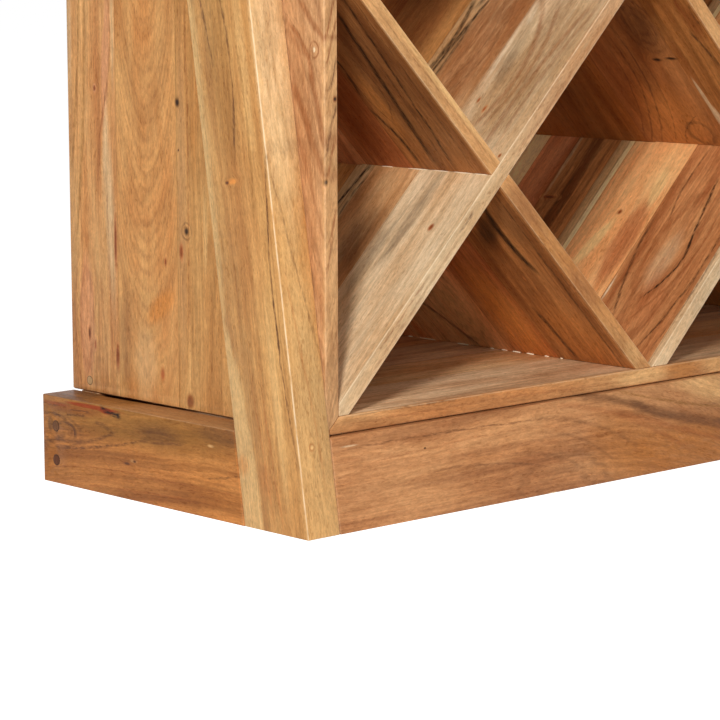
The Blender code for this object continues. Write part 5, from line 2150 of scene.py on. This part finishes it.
@dataclass
class Fasteners:
    """Plugs, screws and dowels, each kind made once by a Geometry Nodes tree and set on its seats."""

    nodes: dict[str, Object]
    plug_dome: float = 0.03
    thread_pitch: float = 0.0022
    core_share: float = 0.72
    shank_radius: float = 0.0020
    head_height: float = 0.0026
    point_length: float = 0.0050
    tip_radius: float = 0.0001
    recess_size: Triple = (0.0044, 0.0011, 0.0028)
    flutes: int = 18
    flute_depth: float = 0.05
    shade: float = 0.45
    own_shades: dict[str, float] = field(
        default_factory=lambda: {
            "plinth_plug_low_left": 0.95,
            "plinth_plug_high_left": 0.80,
            "mitre_plug_lower_back_left": 0.22,
        }
    )
    seed: int = 7

    def build(self) -> None:
        """Make all fasteners."""
        self.make_plugs()
        steel = SteelFinish().material()
        for kind in ("mitre", "plinth", "post", "top"):
            self.make_screws(kind, steel)
        self.make_dowels()

    def seats(self, prefix: str) -> dict[str, Seat]:
        """Seats of all solids whose names start alike.

        Args:
            prefix: start of the nodes' names.

        Returns:
            Seats by node name.
        """
        found = {}
        for name in sorted(self.nodes):
            if name.startswith(prefix):
                low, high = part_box(name)
                found[name] = self.seat(name, low, high, self.own_shades.get(name, self.shade))
        return found

    @staticmethod
    def seat(name: str, low: Vector, high: Vector, shade: float) -> Seat:
        """Seat of one fastener, from its box.

        Args:
            name: the node's name.
            low: the box's low corner.
            high: the box's high corner.
            shade: the fastener's shade.

        Returns:
            The seat at its outer end.
        """
        size = high - low
        middle = (low + high) / 2
        outward = -1 if name.endswith("left") else 1
        if name.startswith("top_screw"):
            return Seat(Vector((middle.x, middle.y, low.z)), -UP, size.x / 2, size.z, shade)
        if name.startswith("dowel_front"):
            return Seat(middle, RIGHT, size.z / 2, size.x, shade)
        if name.startswith("dowel"):
            return Seat(middle, BACK, size.z / 2, size.y, shade)
        if name.startswith("post_screw"):
            outward = -outward
        end = low.x if outward < 0 else high.x
        return Seat(Vector((end, middle.y, middle.z)), Vector((outward, 0, 0)), size.z / 2, size.x, shade)

    def set_on_seats(
        self, recipe: Recipe, seats: dict[str, Seat], values: dict[str, object]
    ) -> None:
        """Run a tree on its seats and let the result stand for its solids.

        Args:
            recipe: the tree, which has the piece's name.
            seats: seats by node name.
            values: values of the tree's inputs, beside the seed.
        """
        points = seat_points(recipe.name + "_seats", list(seats.values()))
        piece = recipe.run(recipe.name, points, values | {"Seed": self.seed})
        nodes = list(seats)
        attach(piece, BODY)
        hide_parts(*nodes)
        LOG.info("%s: %d pieces, %d faces", piece.name, len(nodes), len(piece.data.polygons))

    def make_plugs(self) -> None:
        """Make the slightly domed wooden plugs over the mitre and plinth screws."""
        recipe = Recipe("wood_plugs", ("Dome",))
        graph = recipe.graph
        sizes = {"Vertices": 32, "Side Segments": 1, "Fill Segments": 4, "Radius": 1.0, "Depth": 1.0}
        disc = graph.out("GeometryNodeMeshCylinder", sizes, fill_type="TRIANGLE_FAN")
        x, y, z = graph.parts(graph.out("GeometryNodeInputPosition"))
        rim = graph.vector("LENGTH", graph.joined(x, y, 0.0))
        swell = graph.less(1.0, graph.math("POWER", rim, 4.0))
        swell = graph.times(swell, recipe.given["Dome"], graph.math("GREATER_THAN", z, 0.0))
        offset = graph.joined(0.0, 0.0, swell)
        disc = graph.out("GeometryNodeSetPosition", {"Geometry": disc, "Offset": offset})
        inputs = {"Geometry": disc, "Name": "rim", "Value": rim}
        disc = graph.out("GeometryNodeStoreNamedAttribute", inputs, data_type="FLOAT", domain="POINT")
        recipe.close(recipe.spun(recipe.moved(disc, (0.0, 0.0, -0.5)), recipe.seat_size()))
        seats = self.seats("mitre_plug") | self.seats("plinth_plug")
        wood = PlugFinish("plug_wood", (204, 164, 116), (94, 50, 26)).material()
        self.set_on_seats(recipe, seats, {"Dome": self.plug_dome, "Material": wood})

    def make_screws(self, kind: str, steel: Material) -> None:
        """Make countersunk wood screws of one length, with a cross recess and a thread.

        Args:
            kind: what they fix, as in the nodes' names.
            steel: their material.
        """
        seats = self.seats(kind + "_screw")
        first = next(iter(seats.values()))
        sizes = {"Length": first.depth, "Head Radius": first.radius, "Head Height": self.head_height}
        sizes |= {"Shank Radius": self.shank_radius, "Core Share": self.core_share}
        sizes |= {"Point": self.point_length, "Pitch": self.thread_pitch}
        recipe = Recipe(kind + "_screws", list(sizes), ("Recess",))
        graph = recipe.graph
        length, head_radius, head_height, shank, share, point, pitch = (recipe.given[name] for name in sizes)
        core = graph.times(shank, share)
        body = graph.less(graph.less(length, head_height), point)
        tip_z = graph.times(length, -1.0)
        body_z = graph.math("ADD", tip_z, point)
        head = self.turned(recipe, head_radius, shank, head_height, graph.times(head_height, -1.0))
        shaft = self.turned(recipe, core, core, body, body_z)
        tip = self.turned(recipe, core, self.tip_radius, point, tip_z)
        spiral = {"Resolution": 14, "Rotations": graph.math("DIVIDE", body, pitch), "Height": body}
        spiral |= {"Start Radius": core, "End Radius": core}
        ridge = {"Resolution": 3, "Radius": graph.times(graph.less(shank, core), 0.98)}
        curves = {"Curve": graph.out("GeometryNodeCurveSpiral", spiral), "Fill Caps": True}
        curves["Profile Curve"] = graph.out("GeometryNodeCurvePrimitiveCircle", ridge)
        thread = recipe.moved(graph.out("GeometryNodeCurveToMesh", curves), graph.joined(0.0, 0.0, body_z))
        screw = graph.add("GeometryNodeJoinGeometry")
        for part in (self.recessed(recipe, head), shaft, tip, thread):
            graph.feed(screw.inputs[0], part)
        recipe.close(recipe.spun(screw.outputs[0], (1.0, 1.0, 1.0)))
        values = sizes | {"Recess": self.recess_size, "Material": steel}
        self.set_on_seats(recipe, seats, values)

    @staticmethod
    def turned(recipe: Recipe, top: Value, bottom: Value, height: Value, start: Value) -> Socket:
        """A turned length of a screw.

        Args:
            recipe: the screw's tree.
            top: radius of its upper end.
            bottom: radius of its lower end.
            height: its length.
            start: height of its lower end.

        Returns:
            The cone's geometry.
        """
        inputs = {"Vertices": 24, "Radius Top": top, "Radius Bottom": bottom, "Depth": height}
        cone = recipe.graph.out("GeometryNodeMeshCone", inputs)
        return recipe.moved(cone, recipe.graph.joined(0.0, 0.0, start))

    @staticmethod
    def recessed(recipe: Recipe, head: Value) -> Socket:
        """A screw head with a cross recess.

        Args:
            recipe: the screw's tree.
            head: the plain head.

        Returns:
            The cut head.
        """
        graph = recipe.graph
        length, width, depth = graph.parts(recipe.given["Recess"])
        sizes = (graph.joined(length, width, depth), graph.joined(width, length, depth))
        return recipe.cut("DIFFERENCE", [recipe.cube(size) for size in sizes], head)

    def make_dowels(self) -> None:
        """Make the fluted dowels between the posts and the plinth."""
        recipe = Recipe("fluted_dowels", ("Flutes", "Flute Depth"))
        graph = recipe.graph
        sizes = {"Vertices": 72, "Side Segments": 10, "Fill Segments": 1, "Radius": 1.0, "Depth": 1.0}
        rod = graph.out("GeometryNodeMeshCylinder", sizes, fill_type="NGON")
        x, y, z = graph.parts(graph.out("GeometryNodeInputPosition"))
        wave = graph.math("COSINE", graph.times(graph.math("ARCTAN2", y, x), recipe.given["Flutes"]))
        groove = graph.times(graph.plus(0.5, wave, 0.5), recipe.given["Flute Depth"])
        ends = graph.math("GREATER_THAN", graph.math("ABSOLUTE", z), 0.49)
        shrink = graph.less(graph.less(1.0, groove), graph.times(ends, 0.15))
        place = graph.joined(graph.times(x, shrink), graph.times(y, shrink), z)
        rod = graph.out("GeometryNodeSetPosition", {"Geometry": rod, "Position": place})
        recipe.close(recipe.spun(rod, recipe.seat_size()))
        wood = PlugFinish("dowel_wood", (222, 190, 144), (178, 138, 94)).material()
        values = {"Flutes": float(self.flutes), "Flute Depth": self.flute_depth, "Material": wood}
        self.set_on_seats(recipe, self.seats("dowel"), values)


@dataclass
class Studio:
    """Pale floor, white surroundings, two soft lights and the photograph's camera."""

    lens: float = 139.36
    camera_place: Triple = (-2.3412, -2.2527, 0.5916)
    yaw: float = math.radians(42.712)
    pitch: float = math.radians(-8.566)
    roll: float = math.radians(-0.175)
    key_way: Triple = (0.718, 0.565, -0.407)
    key_distance: float = 4.0
    key_size: float = 0.55
    key_power: float = 106.0
    front_way: Triple = (0.42, 0.85, -0.32)
    front_distance: float = 4.5
    front_size: float = 2.2
    front_power: float = 52.0
    fill: float = 0.15
    floor_size: float = 60.0
    floor_glow: float = 0.88

    def build(self) -> None:
        """Set up the stage, the light and the camera."""
        self.add_floor()
        self.add_world()
        self.add_lamp("key_light", self.key_way, self.key_distance, self.key_size, self.key_power)
        self.add_lamp("front_light", self.front_way, self.front_distance, self.front_size, self.front_power)
        self.add_camera()
        bpy.context.scene.view_settings.view_transform = "Standard"

    @staticmethod
    def seen_directly(graph: Graph) -> Socket:
        """One where a ray comes from the camera, a mirror or glass.

        Args:
            graph: the graph of a material or world.

        Returns:
            The ray test's output.
        """
        path = graph.add("ShaderNodeLightPath").outputs
        seen = graph.math("MAXIMUM", path["Is Camera Ray"], path["Is Glossy Ray"])
        return graph.math("MAXIMUM", seen, path["Is Transmission Ray"])

    def add_floor(self) -> None:
        """Lay a pale floor that shows white and keeps a soft shadow."""
        mesh = bpy.data.meshes.new("studio_floor")
        shape = bmesh.new()
        bmesh.ops.create_grid(shape, x_segments=1, y_segments=1, size=self.floor_size / 2)
        shape.to_mesh(mesh)
        shape.free()
        floor = link(bpy.data.objects.new("studio_floor", mesh))
        material, graph = blank_material("studio_floor")
        pale = graph.out("ShaderNodeBsdfDiffuse", {"Color": (0.80, 0.80, 0.80, 1.0)})
        glow = graph.times(self.seen_directly(graph), self.floor_glow)
        light = graph.out("ShaderNodeEmission", {"Strength": glow})
        both = graph.out("ShaderNodeAddShader", {0: pale, 1: light})
        graph.add("ShaderNodeOutputMaterial", {"Surface": both})
        mesh.materials.append(material)

    def add_world(self) -> None:
        """Surround the cabinet with even light that is white where it is seen."""
        world = bpy.data.worlds.new("studio_world")
        world.use_nodes = True
        world.node_tree.nodes.clear()
        graph = Graph(world.node_tree)
        strength = graph.plus(self.fill, self.seen_directly(graph), 1.0 - self.fill)
        back = graph.out("ShaderNodeBackground", {"Color": (1.0, 1.0, 1.0, 1.0), "Strength": strength})
        graph.add("ShaderNodeOutputWorld", {"Surface": back})
        bpy.context.scene.world = world

    @staticmethod
    def add_lamp(name: str, way: Triple, distance: float, size: float, power: float) -> None:
        """Hang a round soft light.

        Args:
            name: the lamp's name.
            way: direction of its light.
            distance: how far it hangs from the cabinet's lower left.
            size: its diameter.
            power: its power in watts.
        """
        lamp = bpy.data.lights.new(name, "AREA")
        lamp.shape = "DISK"
        lamp.size = size
        lamp.energy = power
        holder = link(bpy.data.objects.new(name, lamp))
        ray = Vector(way)
        holder.location = Vector(LIT_PLACE) - ray.normalized() * distance
        holder.rotation_euler = ray.to_track_quat("-Z", "Y").to_euler()

    def add_camera(self) -> None:
        """Place the camera at the photograph's viewpoint."""
        data = bpy.data.cameras.new("photo_camera")
        data.lens = self.lens
        camera = link(bpy.data.objects.new("photo_camera", data))
        aim = Matrix.Rotation(-self.yaw, 4, "Z") @ Matrix.Rotation(math.pi / 2 + self.pitch, 4, "X")
        aim = aim @ Matrix.Rotation(self.roll, 4, "Z")
        camera.matrix_world = Matrix.Translation(self.camera_place) @ aim
        bpy.context.scene.camera = camera


def main() -> None:
    """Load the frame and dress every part."""
    logging.basicConfig(level=logging.INFO, format="%(name)s: %(message)s")
    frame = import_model()
    nodes = frame["nodes"]
    at = Measures.from_frame()
    Studio().build()
    boards = (Case(at, nodes), Lattice(at), Posts(at, nodes), Plinth(at, nodes), Top(nodes))
    for part in (*boards, Fasteners(nodes)):
        LOG.info("building %s", type(part).__name__)
        part.build()


if __name__ == "__main__":
    main()
